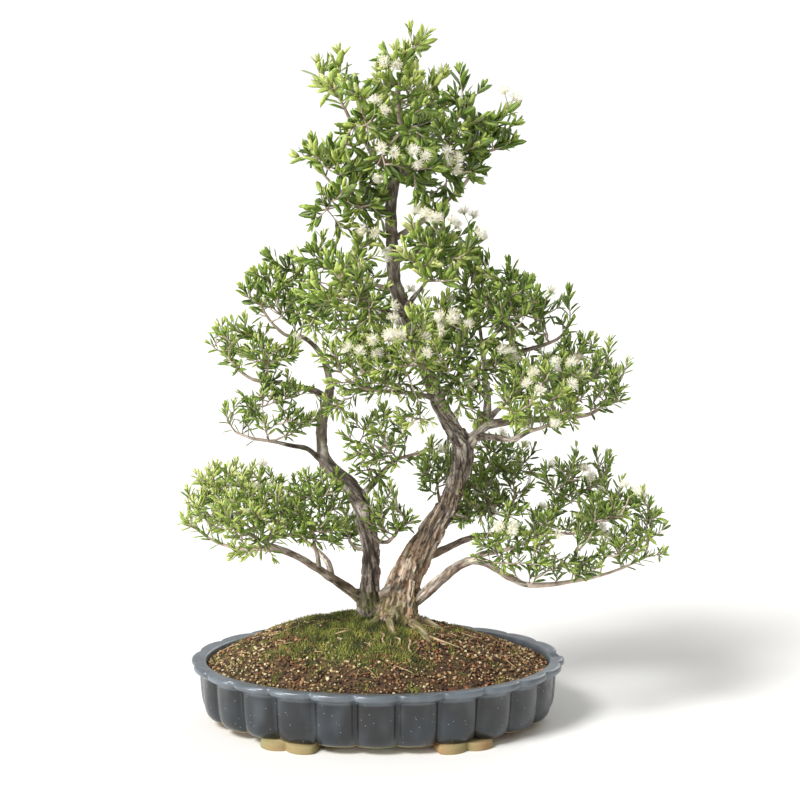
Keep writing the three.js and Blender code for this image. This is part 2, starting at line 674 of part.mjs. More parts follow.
// Trunks, surface roots, stubs and bare limbs grew as one piece of wood; it rests on the mound and
// stands in a plain hole in the soil
function treeWood(lines) {
  const parts = [];
  for (const [trunk, sides] of [[TRUNK_RIGHT, 8], [TRUNK_LEFT, 6]]) {
    const centres = trunk.map(vector);
    const radii = trunk.map((row) => row[3]);
    parts.push(limb(centres, radii, sides, TRUNK_FLUTING));
    place('tree_wood', centres, radii);
  }
  for (const stub of STUBS) {
    const centres = [vector(stub.from), vector(stub.to)];
    parts.push(limb(centres, stub.radii, 5));
    place('tree_wood', centres, stub.radii);
  }
  for (const line of lines) {
    parts.push(limbOf(line.bare, line.bare[0].radius > 6 ? 5 : 4));
    place('tree_wood', line.bare.map((item) => item.point), line.bare.map((item) => item.radius));
  }
  parts.push(...ROOTS.map(root));
  const ground = mound(SOIL_EDGE - 20, SEAT_GAP, 0).subtract(stumpHole(0, STUMP_RADIUS));
  const above = wasm.Manifold.union(parts).subtract(ground);
  const top = SOIL_EDGE + MOUND_RISE - 2;
  const stump = upright(STUMP_RADIUS - SEAT_GAP, STUMP_BOTTOM + SEAT_GAP, top, ...STUMP_CENTRE, 12);
  return above.add(stump);
}

// The places that a branch's twigs can grow from, with how far along the branch each one lies
function skeletonOf(line) {
  let run = 0;
  const places = line.leafy.map((item, i, all) => {
    run += i > 0 ? item.point.distanceTo(all[i - 1].point) : 0;
    return { point: item.point, run };
  });
  return places.filter((item) => item.run > 6);
}

// A twig from the handiest place on the skeleton to a tip, leaving flat and curving upwards
function twigTo(skeleton, tip) {
  const cost = ({ point, run }) => {
    const drop = Math.max(0, point.z - tip.z + 6);
    return point.distanceTo(tip) + 0.3 * run + 0.8 * drop;
  };
  const origin = skeleton.reduce((best, item) => (cost(item) < cost(best) ? item : best));
  const start = origin.point;
  const bend = start.clone().lerp(tip, 0.75);
  bend.z = THREE.MathUtils.lerp(start.z, tip.z, 0.3);
  const curve = new THREE.QuadraticBezierCurve3(start, bend, tip);
  const straight = start.distanceTo(tip) < STRAIGHT_LENGTH;
  const points = straight ? [start, tip] : [start, curve.getPoint(0.55), tip];
  return { points, radii: straight ? STRAIGHT_TWIG : BENT_TWIG, run: origin.run };
}

function grow(skeleton, { points, run }) {
  if (points.length > 2) {
    skeleton.push({ point: points[1], run: run + points[1].distanceTo(points[0]) });
  }
}

// The rings of a leafy shoot: a three-sided twig that ends in a short collar
function shootRings({ points, radii }) {
  const end = points.at(-1);
  const axis = end.clone().sub(points.at(-2)).normalize();
  const collar = end.clone().addScaledVector(axis, -COLLAR);
  const centres = [...points.slice(0, -1), collar, end];
  return ringsAlong(centres, [...radii.slice(0, -1), radii.at(-1) * 1.2, radii.at(-1)], 3);
}

// The blades of a shoot: one from each side of its collar and one from its tip
function shootLeaves({ points }, rings) {
  const end = points.at(-1);
  const axis = end.clone().sub(points.at(-2)).normalize();
  const [lower, upper] = rings.slice(-2);
  const high = THREE.MathUtils.smoothstep(end.z, LOW_LEAF_HEIGHT, CROWN_LEAF_HEIGHT);
  const length = THREE.MathUtils.lerp(LOW_LEAF.length, CROWN_LEAF.length, high);
  const width = THREE.MathUtils.lerp(LOW_LEAF.width, CROWN_LEAF.width, high);
  const leaves = [];
  for (let k = 0; k < 3; k += 1) {
    const base = lower[k].clone().add(lower[(k + 1) % 3]).add(upper[(k + 1) % 3]);
    base.divideScalar(3);
    const radial = base.clone().sub(end);
    radial.addScaledVector(axis, -radial.dot(axis)).normalize();
    const direction = axis.clone().multiplyScalar(Math.cos(LEAF_TILT));
    direction.addScaledVector(radial, Math.sin(LEAF_TILT));
    leaves.push({ face: 2 * (3 * (rings.length - 2) + k), base, direction, facing: axis, length, width });
  }
  const facing = upper[0].clone().sub(end).normalize();
  leaves.push({ face: -1, base: end, direction: axis, facing, length, width });
  return leaves;
}

// A blade drawn out of one face: flat on the side that it faces, keeled on the other
function drawBlade(points, faces, { face, base, direction, facing, length, width }) {
  const across = facing.clone().cross(direction).normalize();
  const middle = base.clone().addScaledVector(direction, LEAF_WIDEST * length);
  const keelward = across.clone().cross(direction);
  const section = [
    middle.clone().addScaledVector(across, width / 2),
    middle.clone().addScaledVector(across, -width / 2),
    middle.clone().addScaledVector(keelward, LEAF_KEEL),
  ];
  const number = face < 0 ? faces.length + face : face;
  const root = faces[number];
  const mismatch = (shift) => root.reduce((sum, corner, k) => (
    sum + points[corner].distanceToSquared(section[(k + shift) % 3])), 0);
  const shift = [0, 1, 2].reduce((best, k) => (mismatch(k) < mismatch(best) ? k : best));
  const first = points.length;
  points.push(...section, base.clone().addScaledVector(direction, length));
  for (let k = 0; k < 3; k += 1) {
    const next = (k + 1) % 3;
    const near = first + (k + shift) % 3;
    const far = first + (next + shift) % 3;
    faces.push([root[k], root[next], far], [root[k], far, near], [near, far, first + 3]);
  }
  faces.splice(number, 1);
}

// A flower: a small core that every stamen tuft stands out of
function puff(centre) {
  const core = new THREE.OctahedronGeometry(PUFF_CORE, 0).attributes.position;
  const positions = [];
  for (let face = 0; face < core.count; face += 3) {
    const corners = [0, 1, 2].map((k) => new THREE.Vector3().fromBufferAttribute(core, face + k));
    const tuft = new THREE.Vector3().add(corners[0]).add(corners[1]).add(corners[2]);
    tuft.setLength(PUFF_RADIUS);
    for (const [a, b] of [[0, 1], [1, 2], [2, 0]]) {
      for (const point of [corners[a], corners[b], tuft]) {
        positions.push(...point.clone().add(centre).toArray());
      }
    }
  }
  const geometry = new THREE.BufferGeometry();
  geometry.setAttribute('position', new THREE.Float32BufferAttribute(positions, 3));
  return solid(geometry);
}

// A cluster of flowers: a short stalk from the end of a twig zigzags from one to the next
function bloom(name, twig, flowers) {
  const end = twig.points.at(-1);
  const axis = end.clone().sub(twig.points.at(-2)).normalize();
  const side = new THREE.Vector3(1, 0, 0);
  side.addScaledVector(axis, -side.dot(axis)).normalize();
  const foot = end.clone().addScaledVector(axis, SEAT_GAP);
  const stops = [foot, foot.clone().addScaledVector(axis, 2)];
  for (let k = 0; k < flowers; k += 1) {
    const radial = side.clone().applyAxisAngle(axis, Math.PI * 0.8 * k);
    const stop = foot.clone().addScaledVector(axis, STALK_LENGTH + FLOWER_STEP * k);
    stops.push(stop.addScaledVector(radial, FLOWER_SPREAD));
  }
  place(name, stops, stops.map(() => STALK_RADIUS));
  const parts = [limb(stops, stops.map(() => STALK_RADIUS), 3)];
  for (const centre of stops.slice(2)) {
    parts.push(puff(centre));
    place(name, [centre, centre], [PUFF_RADIUS, PUFF_RADIUS]);
  }
  return wasm.Manifold.union(parts);
}

pot();
soil();
drainScreen('drain_screen_left', -DRAIN_X);
drainScreen('drain_screen_right', DRAIN_X);

const lines = BRANCHES.map(branchLines);
add('tree_wood', treeWood(lines), FINISH.bark);

const sprays = BRANCHES.map((branch, i) => {
  const name = `spray_${branch.name}`;
  const line = lines[i];
  place(name, line.leafy.map((item) => item.point), line.leafy.map((item) => item.radius));
  return { name, branch, skeleton: skeletonOf(line), parts: [limbOf(line.leafy, 3)], twigs: [] };
});

// Flowers come first, and everything that grows later keeps clear of them
BLOOMS.forEach(({ branch, place: hub, flowers }, i) => {
  const spray = sprays.find((item) => item.branch.name === branch);
  const twig = twigTo(spray.skeleton, vector(hub));
  grow(spray.skeleton, twig);
  place(spray.name, twig.points, twig.radii);
  spray.parts.push(limb(twig.points, twig.radii, 3));
  const name = `bloom_${branch}_${i + 1}`;
  add(name, bloom(name, twig, flowers), FINISH.flower);
});

sprays.forEach((spray, i) => {
  const first = 1 + 7 * i;
  for (let n = first; n < first + 16 && spray.twigs.length < spray.branch.shoots; n += 1) {
    const twig = twigTo(spray.skeleton, shootTip(spray.branch, n));
    const { points } = twig;
    const long = points[0].distanceTo(points.at(-1)) > 12;
    const clear = points.slice(1).every((point, k) => isClear(spray.name, points[k], point, 1.5));
    if (long && clear) {
      grow(spray.skeleton, twig);
      place(spray.name, twig.points, twig.radii);
      spray.twigs.push(twig);
    }
  }
});

for (const spray of sprays) {
  for (const twig of spray.twigs) {
    const rings = shootRings(twig);
    const points = rings.flat();
    const faces = facesOver(rings);
    const leaves = shootLeaves(twig, rings).filter(({ base, direction, length, width }) => {
      const from = base.clone().addScaledVector(direction, 0.2 * length);
      const to = base.clone().addScaledVector(direction, 0.92 * length);
      const core = LEAF_CORE * width;
      const clear = isClear(spray.name, from, to, core);
      if (clear) {
        place(spray.name, [from, to], [core, core]);
      }
      return clear;
    });
    for (const leaf of leaves.reverse()) {
      drawBlade(points, faces, leaf);
    }
    spray.parts.push(skin(points, faces));
  }
  add(spray.name, wasm.Manifold.union(spray.parts), FINISH.leaf);
}

// The origin is at the middle of the whole plant's footprint, at the level that the feet stand on
const box = new THREE.Box3().setFromObject(tree);
const middle = box.getCenter(new THREE.Vector3());
tree.position.set(-middle.x, -middle.y, -box.min.z);

export default tree;
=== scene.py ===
import functools
import itertools
import math

import bpy
import numpy as np
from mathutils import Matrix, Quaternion, Vector, noise
from numpy.linalg import norm


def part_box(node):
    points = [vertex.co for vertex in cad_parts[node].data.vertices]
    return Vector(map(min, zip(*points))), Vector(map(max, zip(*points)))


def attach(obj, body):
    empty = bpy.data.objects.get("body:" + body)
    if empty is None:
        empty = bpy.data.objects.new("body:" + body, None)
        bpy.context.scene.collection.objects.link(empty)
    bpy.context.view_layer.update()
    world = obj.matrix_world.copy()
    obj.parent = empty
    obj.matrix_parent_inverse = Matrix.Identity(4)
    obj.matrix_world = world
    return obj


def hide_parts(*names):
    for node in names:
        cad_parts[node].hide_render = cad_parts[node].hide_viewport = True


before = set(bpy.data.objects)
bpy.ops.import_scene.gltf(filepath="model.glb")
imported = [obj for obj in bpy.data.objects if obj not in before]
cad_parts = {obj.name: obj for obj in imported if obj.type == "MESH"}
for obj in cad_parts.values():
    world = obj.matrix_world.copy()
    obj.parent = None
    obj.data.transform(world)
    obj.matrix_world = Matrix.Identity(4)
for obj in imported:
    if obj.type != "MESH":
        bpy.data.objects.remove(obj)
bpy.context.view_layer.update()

# Lengths are in millimetres from the middle of the pot, at the level its feet stand on, until a
# piece is made; the pot's box in model.glb gives that middle in metres.
MM = 0.001
POT_LOW, POT_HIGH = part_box("pot")
POT_MIDDLE = np.array([(POT_LOW.x + POT_HIGH.x) / 2, (POT_LOW.y + POT_HIGH.y) / 2, POT_LOW.z])

# Camera: how far in front of the pot's middle it stands, how high, and how far it looks down
CAMERA_SIDE = 26
CAMERA_BACK = 1934
CAMERA_HEIGHT = 615
CAMERA_TILT = 7
CAMERA_LENS = 75.6

# Pot: an oval with round lobes, a broad rim and four low feet
POT_LENGTH = 440
POT_DEPTH = 330
RIM_TOP = 73
RIM_WIDTH = 17
POT_FLOOR = 15
LOBES = 24
LOBE_STEPS = 16
LOBE_RELIEF = 10
FOOT_X = 102
FOOT_LENGTH = 66
FOOT_WIDTH = 22
FOOT_INSET = 14
# Outer edge of a foot where its scallops meet, and how far they stand out from there
FOOT_NOTCH = -5
FOOT_SCALLOP = 7.5
# Height on a foot and its share of the foot's full outline
FOOT_PROFILE = [(0, 0.95), (0.7, 0.985), (2, 1), (6, 0.99), (9.4, 0.96)]
# Below this the pot is bare of glaze
GLAZE_EDGE = 12
DRAIN_X = 88
DRAIN_RADIUS = 11

# Outside and inside of the pot from its underside, over the rim, down to its floor: height, inset
# from the rim's outline and how much of the lobes' relief shows there
POT_PROFILE = [
    (8.0, 50, 0), (8.0, 25, 0.75), (8.6, 21, 0.85), (10.4, 17.8, 0.94), (13.4, 15.2, 1), (18, 13.2, 1),
    (25, 11.6, 1), (36, 10.5, 1), (48, 9.8, 1), (58.5, 9.4, 0.98), (61.6, 8.4, 0.94), (63.6, 5.6, 0.86),
    (64.9, 2.2, 0.76), (66.6, 0.4, 0.7), (69, 0, 0.66), (71.4, 0.5, 0.63), (72.7, 2, 0.58),
    (73, 4.4, 0.48), (72.5, 8, 0.3), (71.9, 12, 0.12), (71.9, 14.6, 0.04), (71.7, 16.4, 0),
    (70.4, 17.4, 0), (67, 18.3, 0), (52, 20.5, 0), (33, 23.5, 0), (15, 27, 0), (15, 70, 0),
]

# Soil: a mound that rises from just under the rim to the foot of the trunks
SOIL_EDGE = 65
MOUND_RISE = 55
MOUND_POWER = 1.15
MOUND_SHIFT = 18
SOIL_STEPS = 216
SOIL_RINGS = 62
GRAINS = 9200
MOSS_BLADES = 13000
MOSS_WIDTH = 0.55
STRAWS = 150
# Pale roots in front of the trunk: x and y along each
FINE_ROOTS = [
    [(4, -44), (8, -54), (6, -64), (12, -72)], [(20, -52), (26, -60), (22, -70)],
    [(36, -50), (38, -62), (36, -74), (42, -80)], [(-30, -40), (-42, -48), (-58, -50)],
    [(52, -34), (70, -46), (88, -50), (104, -48)],
]

# Centre lines of the trunks: x, y, z and radius
TRUNK_FLUTING = 0.07
TRUNK_RIGHT = [
    (22, 4, 108, 32), (25, 2, 133, 24), (31, 0, 157, 20), (41, 2, 183, 18), (54, 6, 207, 16),
    (68, 10, 229, 15), (83, 12, 250, 13.5), (93, 12, 277, 12), (98, 10, 301, 12.5), (100, 8, 322, 13.5),
    (89, 8, 341, 10.5), (74, 8, 367, 9.5), (63, 6, 393, 9), (54, 2, 424, 9), (43, -2, 453, 9),
    (32, -4, 481, 8.5), (21, -4, 508, 8), (18, -2, 537, 8), (17, 2, 567, 7.5), (16, 6, 594, 7),
    (18, 10, 622, 7), (24, 12, 644, 6.5), (28, 12, 669, 4.5),
]
TRUNK_LEFT = [
    (-4, 12, 108, 22), (-10, 12, 140, 14.5), (-9, 12, 168, 11.5), (-9, 14, 195, 11), (-13, 16, 223, 11),
    (-20, 16, 252, 10.5), (-33, 14, 274, 10.5), (-49, 12, 290, 9.5), (-62, 12, 305, 8), (-66, 12, 329, 7),
    (-65, 12, 355, 6.5), (-58, 12, 376, 6), (-56, 12, 393, 5),
]

# Surface roots: bearing in degrees from +X, reach over the soil and radius where they leave the
# trunk, and how each runs: part of its reach, height over the soil, share of its radius
ROOT_CENTRE = (18, 3)
ROOTS = [(-52, 68, 8), (-92, 52, 7), (-140, 46, 6), (176, 54, 6.5), (118, 48, 6), (48, 56, 6.5), (-8, 58, 7)]
ROOT_COURSE = [(0, 20, 1), (0.4, 5, 0.9), (0.7, 1, 0.7), (1, -2, 0.4)]

# Dead stubs: start, end, radius at each
STUBS = [
    ((118, 4, 338), (120, -4, 362), 4.5, 2.6), ((80, 10, 243), (106, 0, 238), 4, 2.6),
    ((20, 8, 642), (4, -4, 656), 4.5, 3), ((30, -2, 160), (2, -16, 150), 9, 5),
]

# Places on the wood, as middle and reach: burls and one hollow with how far each stands out, cuts
# healed with paste, and dead wood
BURLS = [((16, -16, 131), 16, 4.5), ((38, 8, 646), 13, 4), ((60, 8, 640), 11, 3.5), ((30, -20, 163), 9, -6)]
PASTE = [((4, -4, 656), 15), ((8, -2, 640), 10)]
DEAD = [((120, -4, 360), 13), ((30, -20, 163), 8)]

# Wood: the voxels of its skin, the radius below which a limb keeps its own tube, and how a branch
# thins along its length
WOOD_GRAIN = 1.35
SLIM_LIMB = 4.8
BRANCH_TIP = 1.3
BRANCH_TAPER = 1.3
SEAT_GAP = 0.3

# Branches: how many points of the centre line lie on the bare woody limb, its radius where it
# starts, the middle and size of the ellipsoid that the foliage fills, and the centre line from
# inside what it grows from
BRANCHES = {
    "low_left_outer": (5, 7, (-191, -14, 252), (42, 50, 38), [
        (-19, 12, 137), (-38, 8, 154), (-56, -4, 169), (-73, -18, 184), (-92, -29, 198), (-112, -35, 207),
        (-133, -35, 209), (-159, -29, 208), (-189, -20, 215), (-211, -14, 228)]),
    "low_left_back": (3, 4.5, (-127, 48, 249), (52, 45, 38), [
        (-55, 2, 168), (-59, 17, 181), (-72, 33, 192), (-88, 42, 203), (-108, 45, 219), (-132, 45, 233)]),
    "low_left_front": (2, 4, (-146, -88, 260), (50, 42, 40), [
        (-90, -15, 194), (-106, -51, 211), (-123, -70, 222), (-140, -82, 234), (-155, -88, 244)]),
    "low_left_inner": (2, 3.5, (-72, -60, 256), (38, 42, 44), [
        (-69, -7, 179), (-69, -38, 202), (-72, -54, 222), (-73, -60, 243)]),
    "mid_left_low": (3, 3.5, (-116, -26, 368), (56, 42, 34), [
        (-67, 12, 305), (-81, -1, 320), (-101, -17, 327), (-121, -26, 333), (-144, -29, 337),
        (-162, -29, 344)]),
    "mid_left": (3, 4.5, (-143, -4, 438), (47, 50, 34), [
        (-58, 12, 377), (-73, 8, 387), (-92, 2, 393), (-120, -4, 399), (-144, -11, 403), (-162, -17, 418),
        (-175, -17, 435)]),
    "upper_left_outer": (3, 4.5, (-114, 8, 498), (40, 50, 48), [
        (-54, 12, 388), (-59, 17, 411), (-70, 20, 434), (-87, 17, 449), (-106, 11, 452), (-123, 5, 468),
        (-137, 2, 491)]),
    "upper_left_back": (2, 4, (-42, 79, 500), (51, 48, 51), [
        (21, -4, 508), (6, 30, 507), (-13, 61, 512), (-31, 76, 527)]),
    "upper_left_front": (2, 4, (-37, -70, 491), (50, 42, 50), [
        (33, -4, 477), (12, -42, 483), (-7, -63, 493), (-25, -73, 509)]),
    "centre_left": (3, 4, (-16, -76, 426), (48, 42, 38), [
        (69, 8, 378), (58, -4, 382), (37, -29, 389), (10, -54, 394), (-19, -70, 401), (-36, -76, 414)]),
    "centre_front": (2, 4, (35, -104, 444), (45, 42, 46), [
        (58, 4, 410), (54, -32, 426), (48, -63, 439), (41, -88, 457)]),
    "centre_right": (2, 4, (99, -73, 430), (48, 42, 50), [
        (70, 8, 374), (82, -20, 395), (93, -45, 415), (99, -60, 439)]),
    "centre_back": (2, 4.5, (26, 116, 443), (60, 48, 51), [
        (57, 4, 414), (48, 42, 422), (39, 76, 434), (31, 92, 454)]),
    "inner_middle": (3, 4.5, (6, -20, 328), (46, 42, 46), [
        (-21, 16, 260), (-2, 8, 282), (10, -4, 298), (21, -14, 309), (38, -20, 316), (54, -23, 322)]),
    "inner_low": (2, 3.5, (13, -26, 250), (30, 30, 34), [
        (-8, 15, 219), (1, -4, 212), (13, -20, 215), (26, -26, 232), (35, -26, 247)]),
    "behind_left": (2, 3, (-38, 73, 209), (24, 32, 34), [
        (-13, 18, 200), (-25, 51, 191), (-35, 67, 197), (-40, 73, 212)]),
    "back_right_low": (2, 4, (150, 104, 285), (46, 45, 42), [
        (88, 12, 270), (101, 51, 265), (118, 82, 268), (136, 98, 279)]),
    "back_left_low": (2, 3.5, (74, 92, 284), (34, 38, 42), [
        (75, 12, 246), (75, 51, 244), (73, 79, 250), (71, 92, 267)]),
    "right_pad_outer": (6, 8, (246, -20, 402), (46, 50, 46), [
        (103, 8, 321), (113, 2, 334), (123, -4, 347), (141, -12, 353), (166, -17, 356), (193, -20, 358),
        (216, -23, 360), (246, -23, 365), (264, -20, 378), (281, -17, 392)]),
    "right_pad_front": (3, 5, (182, -91, 396), (54, 42, 42), [
        (115, 3, 334), (133, -35, 339), (154, -57, 340), (172, -70, 351), (190, -76, 358), (206, -79, 372)]),
    "right_pad_back": (2, 5, (196, 92, 393), (53, 45, 42), [
        (126, 0, 347), (138, 42, 357), (155, 73, 366), (174, 89, 380)]),
    "right_upper_inner": (4, 6, (116, 5, 480), (42, 50, 50), [
        (125, 0, 347), (128, 11, 370), (126, 17, 398), (123, 17, 432), (119, 11, 458), (116, 8, 486)]),
    "right_upper_outer": (3, 4, (186, -14, 484), (38, 48, 42), [
        (125, 14, 416), (148, 3, 428), (172, -11, 437), (193, -17, 444), (209, -17, 452), (221, -17, 469)]),
    "right_upper_front": (2, 3.5, (146, -70, 488), (38, 40, 48), [
        (123, 14, 437), (133, -23, 455), (145, -51, 472), (152, -60, 495)]),
    "upper_right_front": (2, 4, (70, -63, 546), (45, 42, 46), [
        (32, -4, 483), (42, -29, 499), (53, -45, 514), (61, -54, 536)]),
    "upper_right_back": (2, 4, (80, 86, 546), (46, 45, 44), [
        (18, -2, 535), (32, 36, 542), (50, 67, 549), (69, 82, 560)]),
    "low_right_outer": (7, 8, (279, -38, 234), (52, 52, 56), [
        (31, 0, 131), (52, -11, 148), (72, -23, 169), (91, -35, 188), (108, -48, 198), (125, -57, 197),
        (145, -63, 185), (169, -63, 174), (195, -60, 173), (220, -54, 175), (249, -48, 179),
        (281, -38, 187), (312, -32, 200)]),
    "low_right_front": (2, 4.5, (164, -100, 226), (56, 42, 46), [
        (107, -27, 193), (121, -70, 211), (138, -88, 218), (160, -97, 227), (181, -100, 240)]),
    "low_right_middle": (5, 5.5, (238, 42, 234), (54, 50, 58), [
        (47, 4, 185), (71, 17, 194), (93, 30, 202), (118, 39, 209), (147, 45, 210), (177, 48, 211),
        (208, 48, 212), (237, 45, 211), (257, 42, 223)]),
    "low_right_upper": (2, 3.5, (142, 82, 250), (54, 42, 46), [
        (146, 43, 211), (154, 67, 222), (162, 79, 235), (166, 86, 252)]),
    "crown_top": (1, 4.2, (37, 2, 746), (40, 48, 52), [
        (28, 12, 669), (27, 11, 690), (24, 8, 719), (27, 5, 748), (34, 2, 774)]),
    "crown_left_tip": (3, 4.5, (-52, -4, 744), (22, 25, 30), [
        (23, 12, 640), (1, 8, 651), (-13, 2, 673), (-29, -1, 696), (-39, -4, 715), (-50, -4, 734)]),
    "crown_left_inner": (2, 3, (-14, -48, 692), (34, 38, 58), [
        (-11, 5, 670), (-15, -20, 684), (-16, -38, 699), (-16, -45, 718)]),
    "crown_left": (2, 5, (-38, -23, 616), (52, 50, 64), [
        (16, 6, 594), (-6, -4, 600), (-25, -14, 605), (-43, -20, 619), (-61, -23, 637)]),
    "crown_right_inner": (2, 5.5, (92, -17, 684), (38, 42, 66), [
        (23, 12, 636), (43, 5, 634), (62, -4, 640), (77, -11, 655), (85, -14, 675)]),
    "crown_right_outer": (3, 4, (128, 17, 682), (38, 42, 42), [
        (17, 2, 562), (38, 17, 575), (61, 30, 590), (85, 33, 611), (105, 27, 632), (115, 20, 659),
        (129, 14, 684), (143, 8, 706)]),
    "crown_front": (2, 3, (37, -66, 654), (39, 38, 60), [
        (27, 12, 665), (31, -17, 674), (35, -42, 685), (38, -54, 702)]),
    "crown_back": (2, 3.5, (32, 92, 688), (49, 45, 51), [
        (23, 12, 647), (28, 51, 660), (32, 73, 677), (32, 86, 699)]),
}

# Flower clusters: the branch that each one grows on, its place and how many flowers it has
BLOOMS = [
    ("crown_top", (16, -51, 755), 2), ("crown_left_inner", (-2, -85, 700), 2),
    ("crown_front", (14, -110, 659), 2), ("crown_front", (46, -100, 651), 2),
    ("crown_right_inner", (81, -60, 650), 2), ("crown_right_outer", (148, -4, 716), 2),
    ("crown_left", (-8, -57, 574), 2), ("upper_right_front", (61, -104, 583), 3),
    ("upper_right_back", (107, 64, 580), 2), ("centre_front", (26, -153, 457), 3),
    ("centre_right", (81, -116, 475), 2), ("centre_left", (-21, -122, 437), 2),
    ("right_pad_outer", (223, -70, 406), 2), ("right_pad_front", (168, -135, 398), 2),
    ("low_right_outer", (281, -85, 278), 2), ("low_right_front", (143, -141, 251), 2),
    ("low_right_middle", (235, -14, 289), 2),
]

# Where more single flowers show from the front: x and z on the plane of the pot's middle
MORE_FLOWERS = [
    (-1, 760), (7, 648), (40, 660), (78, 648), (9, 560), (-2, 533), (72, 580), (107, 573), (44, 577),
    (9, 447), (44, 450), (38, 424), (73, 477), (90, 459), (3, 426), (141, 434), (211, 400), (217, 365),
    (90, 395), (199, 428), (225, 420), (182, 396), (103, 592), (24, 572), (57, 583), (90, 566), (19, 470),
    (60, 462), (300, 268), (213, 228), (259, 217), (149, 228), (154, 317), (-106, 447),
]

# Fine foliage that fills in between the sprays' ellipsoids: middle and size, by branch
FILLS = {
    "crown_left": [((-22, -30, 575), (30, 30, 36)), ((-76, -30, 668), (18, 22, 26))],
    "upper_left_front": [
        ((-70, -40, 550), (28, 30, 20)), ((-46, -62, 466), (38, 30, 24)), ((-12, -40, 552), (20, 24, 22)),
    ],
    "crown_front": [((43, -50, 613), (22, 25, 32))],
    "crown_right_inner": [((94, -20, 636), (28, 30, 26)), ((70, -30, 606), (20, 24, 20))],
    "centre_left": [
        ((14, -72, 398), (50, 30, 22)), ((-12, -90, 440), (26, 24, 20)), ((-40, -80, 440), (24, 26, 22)),
        ((-20, -60, 396), (30, 26, 18)), ((-46, -40, 372), (18, 26, 24)),
    ],
    "centre_right": [
        ((100, -62, 402), (32, 30, 34)), ((96, -80, 392), (30, 26, 24)), ((104, -70, 366), (20, 22, 18)),
    ],
    "right_upper_front": [((148, -40, 444), (20, 30, 34))],
    "centre_front": [((70, -64, 480), (22, 25, 34)), ((40, -84, 366), (24, 26, 16))],
    "low_right_upper": [
        ((124, 32, 240), (30, 36, 28)), ((108, 20, 262), (26, 30, 24)), ((98, 10, 232), (18, 24, 16)),
    ],
    "inner_middle": [((-8, -20, 292), (20, 28, 28))],
    "mid_left_low": [((-122, -20, 396), (44, 30, 20)), ((-84, -20, 356), (24, 26, 14))],
    "low_left_outer": [((-172, -30, 297), (46, 36, 16))],
    "low_left_front": [((-139, -84, 218), (36, 30, 16)), ((-96, -80, 236), (26, 26, 16))],
    "low_right_outer": [((204, -64, 193), (66, 30, 17)), ((280, -40, 262), (22, 26, 20))],
    "low_right_middle": [((243, 10, 306), (38, 30, 16)), ((206, 20, 288), (26, 26, 14))],
    "mid_left": [((-173, -16, 458), (20, 25, 16)), ((-104, -30, 436), (24, 26, 16))],
    "low_left_inner": [((-62, -50, 226), (26, 28, 22)), ((-66, -66, 290), (30, 26, 20))],
    "right_upper_inner": [((112, -20, 524), (24, 30, 20)), ((120, -20, 540), (16, 20, 18))],
    "right_pad_front": [((176, -92, 372), (44, 30, 20)), ((190, -60, 364), (46, 28, 14))],
    "right_pad_outer": [((234, -10, 446), (26, 26, 12))],
}

# Gaps in the foliage that the sky or a trunk shows through from the front: x, z and reach
OPENINGS = [
    (-58, 633, 12), (-80, 613, 13), (-56, 588, 13), (-85, 683, 9), (-40, 705, 8), (24, 794, 11),
    (55, 762, 9), (76, 734, 9), (119, 714, 11), (134, 660, 11), (111, 620, 10), (90, 584, 14),
    (-122, 476, 13), (-61, 514, 8), (-85, 564, 11), (-150, 398, 14), (-128, 370, 11), (200, 516, 17),
    (206, 480, 8), (171, 471, 8), (138, 545, 10), (182, 262, 10), (220, 207, 14), (242, 322, 11),
    (200, 320, 13), (46, 329, 12), (35, 264, 12), (-178, 318, 14), (68, 509, 11), (26, 474, 11),
    (29, 613, 11), (-85, 378, 11), (-112, 455, 12), (-36, 558, 9), (204, 455, 11), (122, 455, 9),
    (-41, 405, 9), (-20, 337, 9), (264, 231, 8), (-20, 758, 10), (-196, 322, 12), (-165, 331, 13),
    (-138, 331, 11),
]

# Studio: name, direction, strength and softness in degrees of each light, the light all round and
# what the camera sees of it
LIGHTS = [
    ("window_light", (0.62, 0.62, -0.9), 3.1, 20),
    ("low_window_light", (0.9, 0.55, -0.16), 1.5, 18),
    ("rear_light", (-0.4, -0.8, -0.6), 0.7, 40),
]
WORLD_STRENGTH = 0.5
WORLD_SEEN = 1.1
FLOOR_REACH = 60

# Leaves: length and width low on the tree and in the crown, and the heights that part the two
LOW_LEAF = (17, 4)
CROWN_LEAF = (25, 8.2)
LOW_LEAF_HEIGHT = 400
CROWN_LEAF_HEIGHT = 640
LEAF_THICKNESS = 0.45
# Along the blade, and half its width there as a share of the widest place
LEAF_OUTLINE = [(0.4, 0.9), (0.78, 0.84)]
# How far out and how low in its ellipsoid a shoot may end
SHOOT_REACH = (0.42, 0.97)
SHOOT_LOWEST = -0.62
SHORTEST_SHOOT = 12
# How far the fine foliage spreads past the ellipsoid of its spray, across, in depth and upwards
FOLIAGE_SPREAD = np.array((1.11, 1.03, 1.16))
SHOOTS_PER_AREA = 0.0069
CROWN_SHOOTS_PER_AREA = 0.0042
LEAFY_LENGTH = 38
PAIR_SPACING = 4.7
# Share of leaves that have dropped
LOST_LEAVES = 0.08

# Flowers: puffs of stamens on a short stalk
PUFF_RADIUS = 7.5
STALK_LENGTH = 9
FLOWER_SPREAD = 7
FLOWER_STEP = 5
STAMENS = 88
STAMEN_WIDTH = 0.27
ANTHER_SIZE = 0.3
PETAL = (4.6, 4.0)
# How near a shoot has to show to a wanted flower to carry it, and every how many shoots at the back
FLOWER_REACH = 14
BACK_FLOWERS = 13

